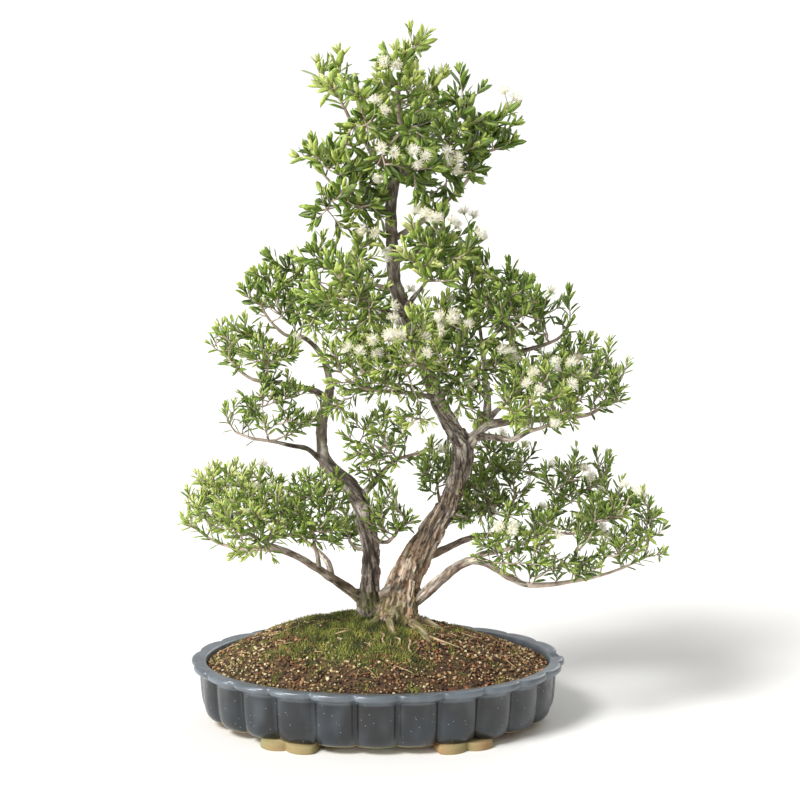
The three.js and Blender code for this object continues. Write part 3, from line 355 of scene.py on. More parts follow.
# Branches whose young leaves are still yellow-green, and how much so
FRESH = {
    "crown_top": 0.3, "crown_left_tip": 0.35, "crown_left_inner": 0.2, "crown_left": 0.1,
    "low_left_outer": 0.25, "low_left_front": 0.15, "upper_left_front": 0.15, "centre_left": 0.1,
    "centre_front": 0.15, "upper_right_front": 0.15, "right_pad_front": 0.15, "mid_left": 0.1,
}

# Settings of a node that mixes colours, plainly or as a soft light
MIX = {"out": 2, "data_type": "RGBA"}
SOFT_MIX = {**MIX, "blend_type": "SOFT_LIGHT"}


def hex_colour(code):
    """Turn an sRGB hex colour into the linear one that a shader takes."""
    parts = [int(code[k:k + 2], 16) / 255 for k in (0, 2, 4)]
    return (*[c / 12.92 if c <= 0.04045 else ((c + 0.055) / 1.055) ** 2.4 for c in parts], 1)


def lerp(a, b, share):
    return a + (b - a) * share


def smooth_step(low, high, value):
    share = np.clip((value - low) / (high - low), 0, 1)
    return share * share * (3 - 2 * share)


def halton(index, base):
    value, fraction = 0.0, 1.0
    while index > 0:
        fraction /= base
        value += fraction * (index % base)
        index //= base
    return value


def noise_at(points, scale, seed=0):
    """Smooth noise from -1 to 1 at each point, with features about as large as scale."""
    sizes = np.broadcast_to(np.asarray(scale, float), (3,))
    return np.array([noise.noise(Vector(p)) for p in points / sizes + 17.3 * seed])


def ground_noise(x, y, scale, seed):
    return noise_at(np.column_stack([x, y, 0 * x]), scale, seed)


def unit(vector):
    """A vector, or each row of several, made 1 long."""
    return vector / (norm(vector) if vector.ndim == 1 else norm(vector, axis=1, keepdims=True))


def length_along(line):
    """How far along a line each of its points lies."""
    return np.concatenate([[0], np.cumsum(norm(np.diff(line, axis=0), axis=1))])


def joined(shapes):
    """Several (points, faces) shapes as one."""
    points = np.concatenate([np.asarray(corners, float).reshape(-1, 3) for corners, _ in shapes])
    faces, first = [], 0
    for corners, shape_faces in shapes:
        faces += [tuple(int(k) + first for k in face) for face in shape_faces]
        first += len(corners)
    return points, faces


def new_object(name, points, faces):
    """A mesh object in the scene, from points in metres."""
    mesh = bpy.data.meshes.new(name)
    mesh.from_pydata(np.asarray(points).tolist(), [], faces)
    made = bpy.data.objects.new(name, mesh)
    bpy.context.scene.collection.objects.link(made)
    return made


def worked_shape(made, *helpers):
    """Points in millimetres, faces and normals of an object after its modifiers, which ends it."""
    shown = made.evaluated_get(bpy.context.evaluated_depsgraph_get()).to_mesh()
    corners, normals = np.zeros(len(shown.vertices) * 3), np.zeros(len(shown.vertices) * 3)
    shown.vertices.foreach_get("co", corners)
    shown.vertex_normals.foreach_get("vector", normals)
    faces = [tuple(face.vertices) for face in shown.polygons]
    for used in (made, *helpers):
        bpy.data.objects.remove(used)
    return corners.reshape(-1, 3) / MM, faces, normals.reshape(-1, 3)


def make_piece(name, shapes, materials, replaced=(), smooth=False, shades=None, finish=None):
    """Join (points, faces) shapes into one mesh piece that stands for the replaced CAD nodes."""
    points, faces = joined(shapes)
    piece = new_object(name, points * MM + POT_MIDDLE, faces)
    mesh = piece.data
    for material in materials:
        mesh.materials.append(material)
    if finish is not None:
        mesh.polygons.foreach_set("material_index", np.asarray(finish, np.int32))
    for shade, values in (shades or {}).items():
        values = np.asarray(values, np.float32)
        kind, field = ("FLOAT", "value") if values.ndim == 1 else ("FLOAT_VECTOR", "vector")
        mesh.attributes.new(shade, kind, "POINT").data.foreach_set(field, values.ravel())
    mesh.polygons.foreach_set("use_smooth", [smooth] * len(faces))
    mesh.update()
    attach(piece, "root")
    if replaced:
        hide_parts(*replaced)


def frames_along(centres):
    """Direction, side and up at each point of a line, carried along it without twisting."""
    ahead = unit(np.gradient(centres, axis=0))
    side = np.cross((0, 0, 1), ahead[0])
    if norm(side) < 0.2:
        side = np.array((0, 1, 0)) - ahead[0] * ahead[0][1]
    sides = []
    for k, direction in enumerate(ahead):
        if k:
            turn = Vector(ahead[k - 1]).rotation_difference(Vector(direction))
            side = np.array(turn @ Vector(side))
        side = unit(side - direction * np.dot(side, direction))
        sides.append(side)
    return ahead, np.array(sides), np.cross(ahead, np.array(sides))


def ring_faces(rings, count):
    """Faces between rings of count points each, and one over the first and over the last ring."""
    faces = []
    for k in range(rings - 1):
        for j in range(count):
            a, b = k * count + j, k * count + (j + 1) % count
            faces.append((a, b, b + count, a + count))
    last = (rings - 1) * count
    return [*faces, tuple(range(count - 1, -1, -1)), tuple(range(last, last + count))]


def copied_faces(pattern, corners, copies):
    """The faces of a pattern of triangles with so many corners, for each of its copies."""
    return (np.array(pattern)[None] + corners * np.arange(copies)[:, None, None]).reshape(-1, 3)


def tube(centres, radii, sides, fluting=0, lumps=0):
    """A closed limb of round section along a line."""
    centres = np.asarray(centres, float)
    _, side, up = frames_along(centres)
    angle = np.arange(sides) * 2 * math.pi / sides
    ring = np.arange(len(centres))[:, None]
    radius = np.asarray(radii, float)[:, None] * (1 + fluting * np.cos(3 * angle + 0.12 * ring))
    rim = (side[:, None] * np.cos(angle)[None, :, None] + up[:, None] * np.sin(angle)[None, :, None])
    points = (centres[:, None] + rim * radius[..., None]).reshape(-1, 3)
    if lumps:
        points += rim.reshape(-1, 3) * (lumps * noise_at(points, 9))[:, None]
    return points, ring_faces(len(centres), sides)


def curve_through(points, values, step):
    """Even steps along a smooth centripetal curve through the points, with its values eased."""
    points = np.asarray(points, float)
    ends = np.vstack([2 * points[0] - points[1], points, 2 * points[-1] - points[-2]])
    knots = np.concatenate([[0], np.cumsum(norm(np.diff(ends, axis=0), axis=1) ** 0.5)])

    def blend(p, q, low, high, t):
        return (p * (high - t) + q * (t - low)) / (high - low)

    line, eased = [], []
    for k in range(1, len(ends) - 2):
        count = max(2, round(float(norm(ends[k + 1] - ends[k])) / step))
        t0, t1, t2, t3 = knots[k - 1:k + 3]
        p0, p1, p2, p3 = ends[k - 1:k + 3]
        for t in np.linspace(t1, t2, count, endpoint=False):
            a1, a2, a3 = blend(p0, p1, t0, t1, t), blend(p1, p2, t1, t2, t), blend(p2, p3, t2, t3, t)
            line.append(blend(blend(a1, a2, t0, t2, t), blend(a2, a3, t1, t3, t), t1, t2, t))
            eased.append(lerp(values[k - 1], values[k], (t - t1) / (t2 - t1)))
    return np.array([*line, points[-1]]), np.array([*eased, values[-1]])


def oval_ring(inset, height, lobed, steps_per_lobe):
    """One ring of the pot at an inset from its outline, with round lobes that meet in grooves."""
    half_x, half_y = POT_LENGTH / 2 - inset, POT_DEPTH / 2 - inset
    fine = np.linspace(0, 2 * math.pi, 4001)
    run = np.hypot(half_x * np.sin(fine), half_y * np.cos(fine))
    length = np.concatenate([[0], np.cumsum((run[1:] + run[:-1]) / 2)])
    steps = LOBES * steps_per_lobe
    along = (np.arange(steps) + steps_per_lobe / 2) / steps
    angle = np.interp(along * length[-1], length, fine)
    x, y = half_x * np.cos(angle), half_y * np.sin(angle)
    outward = unit(np.stack([half_y * np.cos(angle), half_x * np.sin(angle)], axis=1))
    across = np.abs(2 * (np.arange(steps) % steps_per_lobe) / steps_per_lobe - 1)
    dip = LOBE_RELIEF * lobed * (1 - (1 - across ** 2.3) ** 0.6)
    return np.column_stack([x - outward[:, 0] * dip, y - outward[:, 1] * dip, np.full(steps, height)])


def pot_wall():
    """The pot's whole skin from the middle of its underside over the rim to its floor."""
    rings = [oval_ring(inset, height, lobed, LOBE_STEPS) for height, inset, lobed in POT_PROFILE]
    return np.concatenate(rings), ring_faces(len(rings), len(rings[0]))


def drilled(solid, places):
    """A solid with an upright round drain hole through it at each of the places."""
    body = new_object("solid", solid[0] * MM, solid[1])
    holes = []
    for x, y in places:
        points, faces = tube([(x, y, -3), (x, y, POT_FLOOR + 6)], [DRAIN_RADIUS] * 2, 24)
        holes.append(new_object("hole", points * MM, faces))
        cut = body.modifiers.new("drain", "BOOLEAN")
        cut.operation = "DIFFERENCE"
        cut.object = holes[-1]
    return worked_shape(body, *holes)[:2]


def pot_foot(side_x, side_y):
    """One of the four low feet: a bar under the pot's edge with two scallops outside."""
    half_x, half_y = POT_LENGTH / 2 - FOOT_INSET, POT_DEPTH / 2 - FOOT_INSET
    edge = half_y * math.sqrt(1 - (FOOT_X / half_x) ** 2)
    lean = math.atan2(FOOT_X / half_x ** 2, edge / half_y ** 2)
    half = FOOT_LENGTH / 2
    across = np.linspace(-half, half, 33)
    outer = FOOT_NOTCH + FOOT_SCALLOP * np.abs(np.sin(math.pi * across / half)) ** 0.7
    outline = np.array([*zip(across, outer), (half, -FOOT_WIDTH), (-half, -FOOT_WIDTH)][::-1])
    middle = outline.mean(axis=0)
    rings = []
    for height, share in FOOT_PROFILE:
        x, y = (middle + (outline - middle) * share).T
        turned_x = x * math.cos(lean) + y * math.sin(lean) + FOOT_X
        turned_y = -x * math.sin(lean) + y * math.cos(lean) + edge
        rings.append(np.column_stack([turned_x * side_x, turned_y * side_y, np.full(len(x), height)]))
    faces = ring_faces(len(rings), len(outline))
    if side_x * side_y < 0:
        faces = [face[::-1] for face in faces]
    return np.concatenate(rings), faces


def mound_height(x, y):
    """Height of the soil's surface, by how far a place is from its top, left of the middle."""
    half_x, half_y = POT_LENGTH / 2 - RIM_WIDTH, POT_DEPTH / 2 - RIM_WIDTH
    far = np.hypot((x + MOUND_SHIFT * (1 - (x / half_x) ** 2)) / half_x, y / half_y)
    return SOIL_EDGE + MOUND_RISE * np.maximum(0, 1 - far ** 2) ** MOUND_POWER


def moss_cover(x, y):
    """How mossy the soil is at a place: thick round the trunks and down the left front."""
    base = 1.15 * np.exp(-((x - 12) / 52) ** 2 - ((y + 48) / 50) ** 2)
    left = 0.9 * np.exp(-((x + 62) / 58) ** 2 - ((y + 54) / 44) ** 2)
    back = 0.9 * np.exp(-((x + 40) / 100) ** 2 - ((y - 40) / 60) ** 2)
    spots = ground_noise(x, y, 26, 3) * 0.7
    spots += ground_noise(x, y, 9, 5) * 0.4
    return np.clip(base + left + back + spots - 0.1, 0, 1)


def soil_places(count, rng, margin):
    """Even random places on the soil, inside the pot's inner wall."""
    half_x, half_y = POT_LENGTH / 2 - RIM_WIDTH - margin, POT_DEPTH / 2 - RIM_WIDTH - margin
    angle = rng.uniform(0, 2 * math.pi, count)
    reach = np.sqrt(rng.uniform(0, 1, count))
    return half_x * reach * np.cos(angle), half_y * reach * np.sin(angle)


def soil_bed():
    """The mound's surface, uneven as packed grains are, down to the pot's floor at its edge."""
    edge = oval_ring(RIM_WIDTH + 2.2, 0, 0, SOIL_STEPS // LOBES)[:, :2]
    grid = [np.column_stack([edge * 0.96, np.full(SOIL_STEPS, POT_FLOOR + SEAT_GAP)])]
    for ring in range(SOIL_RINGS):
        spread = edge * (1 - ring / SOIL_RINGS)
        grid.append(np.column_stack([spread, mound_height(spread[:, 0], spread[:, 1])]))
    points = np.concatenate(grid)
    rough = noise_at(points, 22, 1) * 1.6 + noise_at(points, 6, 2) * 1.2
    points[SOIL_STEPS:, 2] += rough[SOIL_STEPS:] - 1.4
    return points, ring_faces(SOIL_RINGS + 1, SOIL_STEPS)


def grain_pattern():
    """Corners and faces of a rough grain, as an icosahedron of radius 1."""
    golden = (1 + 5 ** 0.5) / 2
    corners = []
    for a in (-1, 1):
        for b in (-golden, golden):
            corners += [(0, a, b), (a, b, 0), (b, 0, a)]
    corners = np.array(corners) / math.hypot(1, golden)
    faces = []
    for i, j, k in itertools.combinations(range(12), 3):
        a, b, c = corners[[i, j, k]]
        if max(norm(a - b), norm(b - c), norm(a - c)) < 1.1:
            outward = np.dot(np.cross(b - a, c - a), a + b + c) > 0
            faces.append((i, j, k) if outward else (i, k, j))
    return corners, faces


def soil_grains(rng):
    """Loose grains of baked clay, pumice and lava all over the mound, each with its own colour."""
    corners, faces = grain_pattern()
    x, y = soil_places(GRAINS, rng, 3)
    size = rng.gamma(9, 0.13, GRAINS) + 0.3
    sunk = ground_noise(x, y, 22, 1) - 1.3 * moss_cover(x, y)
    centres = np.column_stack([x, y, mound_height(x, y) + sunk])
    stretch = rng.uniform(0.65, 1.25, (GRAINS, 1, 3)) * size[:, None, None]
    rough = rng.uniform(0.82, 1.12, (GRAINS, 12, 1))
    spin = [Quaternion(rng.normal(0, 1, 4)).normalized().to_matrix() for _ in range(GRAINS)]
    turned = np.einsum("nij,nkj->nki", np.array(spin), corners[None] * stretch * rough)
    turned[..., 2] *= 0.85
    points = (turned + centres[:, None]).reshape(-1, 3)
    shade = np.repeat(rng.uniform(0, 1, GRAINS), 12)
    red = ground_noise(x, y, 70, 6) + rng.normal(0, 0.35, GRAINS)
    redness = np.clip(red + 0.3 + 0.35 * smooth_step(-60, 90, x), 0, 1)
    return [(points, copied_faces(faces, 12, GRAINS))], {"grain": shade, "redness": np.repeat(redness, 12)}


def moss_blades(rng):
    """Short upright moss leaves in tufts, as three-sided spikes."""
    x, y = soil_places(MOSS_BLADES * 3, rng, 4)
    kept = rng.uniform(0.12, 0.95, len(x)) < moss_cover(x, y)
    x, y = x[kept][:MOSS_BLADES], y[kept][:MOSS_BLADES]
    count = len(x)
    feet = np.column_stack([x, y, mound_height(x, y) + ground_noise(x, y, 22, 1) - 1])
    height = rng.uniform(2.6, 5.6, count) * (0.7 + 0.5 * moss_cover(x, y))
    lean = rng.normal(0, 0.42, (count, 2))
    tips = feet + np.column_stack([lean * height[:, None], height])
    turn = rng.uniform(0, 2 * math.pi, count)
    corners = [feet + MOSS_WIDTH * np.column_stack([np.cos(turn + a), np.sin(turn + a), 0 * turn])
               for a in (0, 2.1, 4.2)]
    points = np.stack([*corners, tips], axis=1).reshape(-1, 3)
    faces = copied_faces([(0, 1, 3), (1, 2, 3), (2, 0, 3), (0, 2, 1)], 4, count)
    shade = np.clip(0.45 + 0.6 * noise_at(feet, 14, 8) + rng.normal(0, 0.2, count), 0, 1)
    return [(points, faces)], {"shade": np.repeat(shade, 4)}


def litter(rng):
    """Dry needles, straw and fine roots that lie about on the soil."""
    shapes, shade = [], []
    for px, py in zip(*soil_places(STRAWS, rng, 22)):
        length, turn = rng.uniform(7, 24), rng.uniform(0, math.pi)
        along = np.linspace(-0.5, 0.5, 6)[:, None]
        sway = rng.normal(0, 0.12)
        line = np.array([px, py]) + length * along * np.array([math.cos(turn), math.sin(turn)])
        line += length * sway * (along ** 2) * np.array([-math.sin(turn), math.cos(turn)])
        lift = mound_height(line[:, 0], line[:, 1]) + 1.7 + rng.uniform(0, 0.5)
        shapes.append(tube(np.column_stack([line, lift]), np.full(6, rng.uniform(0.22, 0.5)), 4))
        shade += [rng.uniform(0, 1)] * len(shapes[-1][0])
    return shapes, {"shade": shade}


def fine_roots():
    """The few pale roots that show in front of the trunk, sunk in the soil at both ends."""
    shapes = []
    for run in FINE_ROOTS:
        lifts = [-1, *[1.8] * (len(run) - 2), -1.5]
        course = [(x, y, mound_height(x, y) + lift) for (x, y), lift in zip(run, lifts)]
        line, radii = curve_through(course, np.linspace(1.5, 0.8, len(run)), 2.5)
        shapes.append(tube(line, radii, 7, lumps=0.25))
    return shapes


def branch_course(name):
    """A branch's smooth centre line and radii, and how many steps of it are bare wood."""
    wood, thick, _, _, path = BRANCHES[name]
    last = len(path) - 1
    radii = [BRANCH_TIP + (thick - BRANCH_TIP) * (1 - k / last) ** BRANCH_TAPER for k in range(last + 1)]
    line, eased = curve_through(path, radii, 4)
    return line, eased, int(norm(line - np.array(path[wood]), axis=1).argmin())


def root_course(bearing, reach, radius):
    turn = math.radians(bearing)
    centres, radii = [], []
    for along, lift, share in ROOT_COURSE:
        sway = 0.12 * math.sin(5 * along + bearing)
        x = ROOT_CENTRE[0] + reach * along * math.cos(turn + sway)
        y = ROOT_CENTRE[1] + reach * along * math.sin(turn + sway)
        centres.append((x, y, mound_height(x, y) + lift))
        radii.append(radius * share)
    return curve_through(centres, radii, 3)


def wood_limbs():
    """Every limb of the wood as (kind, centres, radii), the trunks first."""
    limbs = []
    for kind, trunk in (("right", TRUNK_RIGHT), ("left", TRUNK_LEFT)):
        rows = np.array(trunk, float)
        limbs.append((kind, *curve_through(rows[:, :3], rows[:, 3], 3)))
    limbs += [("root", *root_course(*root)) for root in ROOTS]
    limbs += [("stub", np.linspace(start, end, 8), np.linspace(first, last, 8))
              for start, end, first, last in STUBS]
    for name in BRANCHES:
        line, radii, bare = branch_course(name)
        limbs.append(("limb", line[:bare + 2], radii[:bare + 2]))
    return limbs


def grown_together(shapes):
    """One skin over limbs that run into each other, as (points, faces, normals)."""
    points, faces = joined(shapes)
    limbs = new_object("limbs", points * MM, faces)
    skin = limbs.modifiers.new("skin", "REMESH")
    skin.mode = "VOXEL"
    skin.voxel_size = WOOD_GRAIN * MM
    ease = limbs.modifiers.new("ease", "SMOOTH")
    ease.factor = 0.5
    ease.iterations = 4
    return worked_shape(limbs)


def along_wood(points, limbs):
    """For each point its place across and along the nearest limb, the limb's radius and number."""
    parts = []
    for number, (_, centres, widths) in enumerate(limbs):
        kept = sorted(set(range(0, len(centres), 3)) | {len(centres) - 1})
        line = np.asarray(centres, float)[kept]
        _, side, up = frames_along(line)
        run = length_along(line)[:-1] + 91 * number
        radius = np.asarray(widths, float)[kept][:-1]
        span = np.diff(line, axis=0)
        parts.append((line[:-1], span, side[:-1], up[:-1], run, radius, np.full(len(run), number)))
    start, span, side, up, run, radius, number = (np.concatenate(rows) for rows in zip(*parts))
    squared = (span ** 2).sum(axis=1)
    found = []
    for first in range(0, len(points), 3000):
        part = points[first:first + 3000]
        offset = part[:, None] - start[None]
        share = np.clip((offset * span).sum(axis=2) / squared, 0, 1)
        away = offset - share[..., None] * span
        best = ((away ** 2).sum(axis=2) ** 0.5 - radius).argmin(axis=1)
        rows = np.arange(len(part))
        gap = away[rows, best]
        found.append(np.column_stack([
            (gap * side[best]).sum(axis=1), (gap * up[best]).sum(axis=1),
            run[best] + share[rows, best] * squared[best] ** 0.5, radius[best], number[best]]))
    found = np.concatenate(found)
    return found[:, :3], found[:, 3], found[:, 4].astype(int)


def near(points, centre, reach):
    """1 at a centre, easing to 0 at a reach from it."""
    return 1 - smooth_step(0.35, 1, norm(points - np.array(centre), axis=1) / reach)


def bark(points, limbs):
    """Bark relief along the normal and shades for each point of the wood."""
    place, radius, number = along_wood(points, limbs)
    kind = np.array([kind for kind, _, _ in limbs])[number]
    twist = place[:, 2] * 0.012
    across = place[:, 0] * np.cos(twist) - place[:, 1] * np.sin(twist)
    upward = place[:, 0] * np.sin(twist) + place[:, 1] * np.cos(twist)
    run = np.column_stack([across, upward, place[:, 2]])
    heavy = smooth_step(2.5, 13, radius)
    # Swellings, long fissures, short cross cracks and flakes
    lumps = noise_at(run, (13, 13, 27), 1)
    fissure = np.abs(noise_at(run, (5.6, 5.6, 46), 2) + 0.22 * noise_at(run, (2.4, 2.4, 14), 3))
    crevice_and_shade = (1 - np.clip(fissure / 0.3, 0, 1)) ** 0.9
    cross = np.abs(noise_at(run, (12, 12, 9), 4))
    crevice_and_shade = np.maximum(crevice_and_shade, 0.8 * (1 - np.clip(cross / 0.09, 0, 1)))
    flakes = noise_at(run, (3.4, 3.4, 7), 5)
    crevice_and_shade = crevice_and_shade * lerp(0.4, 1, heavy)
    burls = sum(lift * near(points, middle, reach) for middle, reach, lift in BURLS)
    relief = heavy * (1.6 * lumps + 0.8 * flakes - 3.1 * crevice_and_shade) + burls
    rise = points[:, 2] - mound_height(points[:, 0], points[:, 1])
    damp = noise_at(points, 12, 7)
    moss = (1 - smooth_step(2, 62, rise + 24 * damp + 8)) * smooth_step(-0.5, 0.25, damp)
    moss *= np.where(points[:, 0] < 14, 1.0, 0.7 * smooth_step(30, -10, points[:, 1]))
    warmth = np.where(kind == "right", 1, np.where(kind == "left", 0, 0.25))
    warm = smooth_step(330, 150, points[:, 2]) * warmth
    # Crevices also darken the colour: their own dark bark together with painted shade
    shades = {
        "crevice_and_shade": crevice_and_shade, "moss": moss, "warm": np.where(kind == "root", 1, warm),
        "paste": sum(near(points, *cut) for cut in PASTE), "dead": sum(near(points, *spot) for spot in DEAD),
    }
    return relief, {"run": run, **{name: np.clip(shade, 0, 1) for name, shade in shades.items()}}


def tree_wood():
    """Trunks, surface roots, stubs and bare limbs, grown as one piece of wood."""
    limbs = wood_limbs()
    heavy, slim = [], []
    for kind, centres, radii in limbs:
        if kind in ("right", "left"):
            heavy.append(tube(centres, radii, 28, fluting=TRUNK_FLUTING, lumps=1.2))
        elif kind == "limb" and radii[0] < SLIM_LIMB:
            slim.append(tube(centres, radii, 9, lumps=0.35))
        else:
            heavy.append(tube(centres, radii, 16, lumps=0.9))
    points, faces, normals = grown_together(heavy)
    relief, shades = bark(points, limbs)
    _, slim_shades = bark(np.concatenate([corners for corners, _ in slim]), limbs)
    shades = {name: np.concatenate([shade, slim_shades[name]]) for name, shade in shades.items()}
    return [(points + normals * relief[:, None], faces), *slim], shades


def shoot_tip(middle, size, number):
    """The tip of a numbered shoot, spread over the upper and outer part of an ellipsoid."""
    height = lerp(1, SHOOT_LOWEST, halton(number, 3))
    angle = 2 * math.pi * halton(number, 2)
    reach = lerp(*SHOOT_REACH, halton(number, 5))
    flat = math.sqrt(1 - height * height)
    spread = np.array((flat * math.cos(angle), flat * math.sin(angle), height))
    return np.array(middle, float) + np.array(size, float) * reach * spread


def as_seen(points):
    """Where points show from the camera's side, brought to the plane of the pot's middle."""
    nearer = CAMERA_BACK / (CAMERA_BACK + points[:, 1])
    across, height = lerp(CAMERA_SIDE, points[:, 0], nearer), lerp(CAMERA_HEIGHT, points[:, 2], nearer)
    return np.column_stack([across, height])


def in_opening(points):
    """Whether each point shows, from the front, in one of the gaps between the sprays."""
    gaps = np.array(OPENINGS, float)
    away = norm(as_seen(points)[:, None] - gaps[None, :, :2], axis=2)
    return (away < gaps[None, :, 2]).any(axis=1)


def crownward(height):
    """0 low on the tree, easing to 1 in the crown."""
    return float(smooth_step(LOW_LEAF_HEIGHT, CROWN_LEAF_HEIGHT, height))


def twig_to(skeleton, tip, rng):
    """A twig from the handiest place on the skeleton to a tip, leaving flat and curving upwards."""
    def cost(place):
        start, run = place
        return norm(start - tip) + 0.3 * run + 0.8 * max(0, start[2] - tip[2] + 6)

    start, run = min(skeleton, key=cost)
    bend = lerp(start, tip, 0.75)
    bend[2] = lerp(start[2], tip[2], 0.3)
    length = norm(tip - start)
    share = np.linspace(0, 1, max(4, round(length / 6)))[:, None]
    line = start * (1 - share) ** 2 + 2 * bend * share * (1 - share) + tip * share ** 2
    line[1:-1] += rng.normal(0, 0.012 * length, (len(line) - 2, 3))
    return line, run


def spray_twigs(number, name, rng):
    """All the twigs of a spray: its own leafy stem first, then a shoot to each tip."""
    _, _, centre, size, _ = BRANCHES[name]
    line, radii, bare = branch_course(name)
    stem = line[bare:]
    run = length_along(stem)
    skeleton = [(stem[k], run[k]) for k in range(1, len(stem), 2)]
    tips = []
    for middle, (a, b, c) in [(centre, size * FOLIAGE_SPREAD), *FILLS.get(name, [])]:
        density = lerp(SHOOTS_PER_AREA, CROWN_SHOOTS_PER_AREA, crownward(middle[2]))
        first = 1 + 7 * number
        last = first + round(density * (a * b + b * c + c * a))
        tips += [shoot_tip(middle, (a, b, c), n) for n in range(first, last)]
    tips = np.array(tips)
    shoots = []
    for tip in tips[~in_opening(tips)]:
        twig, start_run = twig_to(skeleton, tip, rng)
        length = norm(twig[-1] - twig[0])
        if length > SHORTEST_SHOOT:
            shoots.append(twig)
            skeleton += [(twig[k], start_run + length * k / len(twig)) for k in range(2, len(twig) - 1, 2)]
    return (stem, radii[bare:]), shoots


def at_distance(line, distances):
    """Points and directions on a line at distances back from its end, with no direction past its start."""
    back = length_along(line[::-1])
    points, further = (np.column_stack([np.interp(far, back, line[::-1, k]) for k in range(3)])
                       for far in (distances, distances + 3))
    direction = points - further
    size = norm(direction, axis=1, keepdims=True)
    return points, direction / np.where(size > 0, size, np.nan)


def across_from(direction):
    """A unit vector square to a direction."""
    return unit(np.cross(direction, (0.31, 0.2, 0.93)))


def shoot_leaves(shoot, fresh, rng):
    """Rows of base, direction, facing, length, width and shade for the leaves of one shoot."""
    high = crownward(shoot[-1][2])
    long, wide = (lerp(low, crown, high) for low, crown in zip(LOW_LEAF, CROWN_LEAF))
    length = norm(np.diff(shoot, axis=0), axis=1).sum()
    leafy = min(LEAFY_LENGTH * lerp(1, 1.2, high), 0.9 * length) * rng.uniform(0.8, 1.15)
    distances = np.arange(0.8, leafy, PAIR_SPACING * lerp(1, 1.5, high))
    points, ahead = at_distance(shoot, distances)
    turn = rng.uniform(0, 2 * math.pi)
    young = fresh + rng.normal(0, 0.1)
    rows = []
    for k, (point, axis) in enumerate(zip(points, ahead)):
        lower = distances[k] / max(leafy, 1)
        side = across_from(axis)
        up = np.cross(axis, side)
        for half in (0, math.pi):
            if k and rng.uniform() < LOST_LEAVES:
                continue
            angle = turn + half + k * math.pi / 2 + rng.normal(0, 0.22)
            radial = side * math.cos(angle) + up * math.sin(angle)
            tilt = lerp(0.42, 0.95, lower) + rng.normal(0, 0.13)
            direction = axis * math.cos(tilt) + radial * math.sin(tilt)
            direction[2] += 0.12
            share = lerp(0.62, 1, min(1, distances[k] / 9)) * rng.uniform(0.8, 1.1)
            shade = 0.3 - 0.07 * high + young + 0.34 * (1 - lower) ** 2 + rng.normal(0, 0.12)
            rows.append((point, unit(direction), axis, long * share, wide * share, shade))
    tip_side = across_from(ahead[0])
    for half in (-1, 1):
        direction = unit(ahead[0] + 0.22 * half * tip_side)
        rows.append((shoot[-1], direction, tip_side * half, long * 0.6, wide * 0.55, 0.66 + young))
    return rows


def blade_pattern():
    """A blade's corners as (along, across, lift, thickness) and its faces, upper side first."""
    corners = [(0, 0, 0, 0)]
    for along, half in LEAF_OUTLINE:
        corners += [(along, half, 1, 0), (along, 0, 0, 0), (along, -half, 1, 0), (along, 0, 0, 1)]
    tip = len(corners)
    corners.append((1, 0, 0, 0))
    upper, lower = [(0, 2, 1), (0, 3, 2)], [(0, 1, 4), (0, 4, 3)]
    for first in range(1, tip - 4, 4):
        for faces, sides in ((upper, ((0, 1), (1, 2))), (lower, ((3, 0), (2, 3)))):
            faces += [(first + a, first + b, first + b + 4, first + a + 4) for a, b in sides]
    upper += [(tip - 4, tip - 3, tip), (tip - 3, tip - 2, tip)]
    lower += [(tip - 1, tip - 4, tip), (tip - 2, tip - 1, tip)]
    return np.array(corners, float), upper + lower


def blades(rows, rng, curl=(0.02, 0.16), fold=(0.12, 0.5)):
    """Closed thin blades from rows of leaves, with each corner's shade and 1 on the midrib."""
    base, direction, facing, length, width, shade = (np.array(column, float) for column in zip(*rows))
    facing = unit(facing - direction * (facing * direction).sum(axis=1, keepdims=True))
    across = np.cross(facing, direction)
    corners, faces = blade_pattern()
    along, aside, lift, under = corners.T
    curled = rng.uniform(*curl, len(rows))[:, None]
    folded = rng.uniform(*fold, len(rows))[:, None]
    sway = rng.normal(0, 0.06, len(rows))[:, None]
    reach = along[None] * length[:, None]
    out = aside[None] * width[:, None] / 2 + sway * along[None] ** 2 * length[:, None]
    rise = lift * folded * width[:, None] / 2 - curled * along[None] ** 2 * length[:, None]
    rise = rise - under * LEAF_THICKNESS
    points = base[:, None] + direction[:, None] * reach[..., None]
    points += across[:, None] * out[..., None] + facing[:, None] * rise[..., None]
    # A leaf past the foot of a short shoot has no direction, and is left out
    sound = np.isfinite(points).all(axis=(1, 2))
    points, shade = points[sound], shade[sound]
    count = len(corners)
    all_faces = [tuple(k + count * n for k in face) for n in range(len(points)) for face in faces]
    rib = np.tile(1.0 * (aside == 0), len(points))
    return (points.reshape(-1, 3), all_faces), {"shade": np.repeat(shade, count), "rib": rib}


def distance_to(points, centres):
    """Distance from each point to the nearest of the centres."""
    return np.concatenate([norm(points[k:k + 2000, None] - centres[None], axis=2).min(axis=1)
                           for k in range(0, len(points), 2000)])


def inside_wood(points, limb_lines):
    """Whether each point lies in a limb, or within a millimetre of its bark."""
    caught = np.zeros(len(points), bool)
    for centres, radii in limb_lines:
        gap = norm(points[:, None] - centres[None], axis=2) - radii[None]
        caught |= gap.min(axis=1) < 1
    return caught


def cluster_centres(twig, flowers):
    """Where a cluster's short stalk runs beyond its twig, and the middle of each flower on it."""
    end, before = twig[-1], twig[-2]
    axis = unit(end - before)
    side = unit(np.array((1.0, 0, 0)) - axis * axis[0])
    centres = []
    for k in range(flowers):
        radial = Quaternion(Vector(axis), math.pi * 0.8 * k) @ Vector(side)
        ahead = end + axis * (SEAT_GAP + STALK_LENGTH + FLOWER_STEP * k)
        centres.append(ahead + np.array(radial) * FLOWER_SPREAD)
    return axis, centres


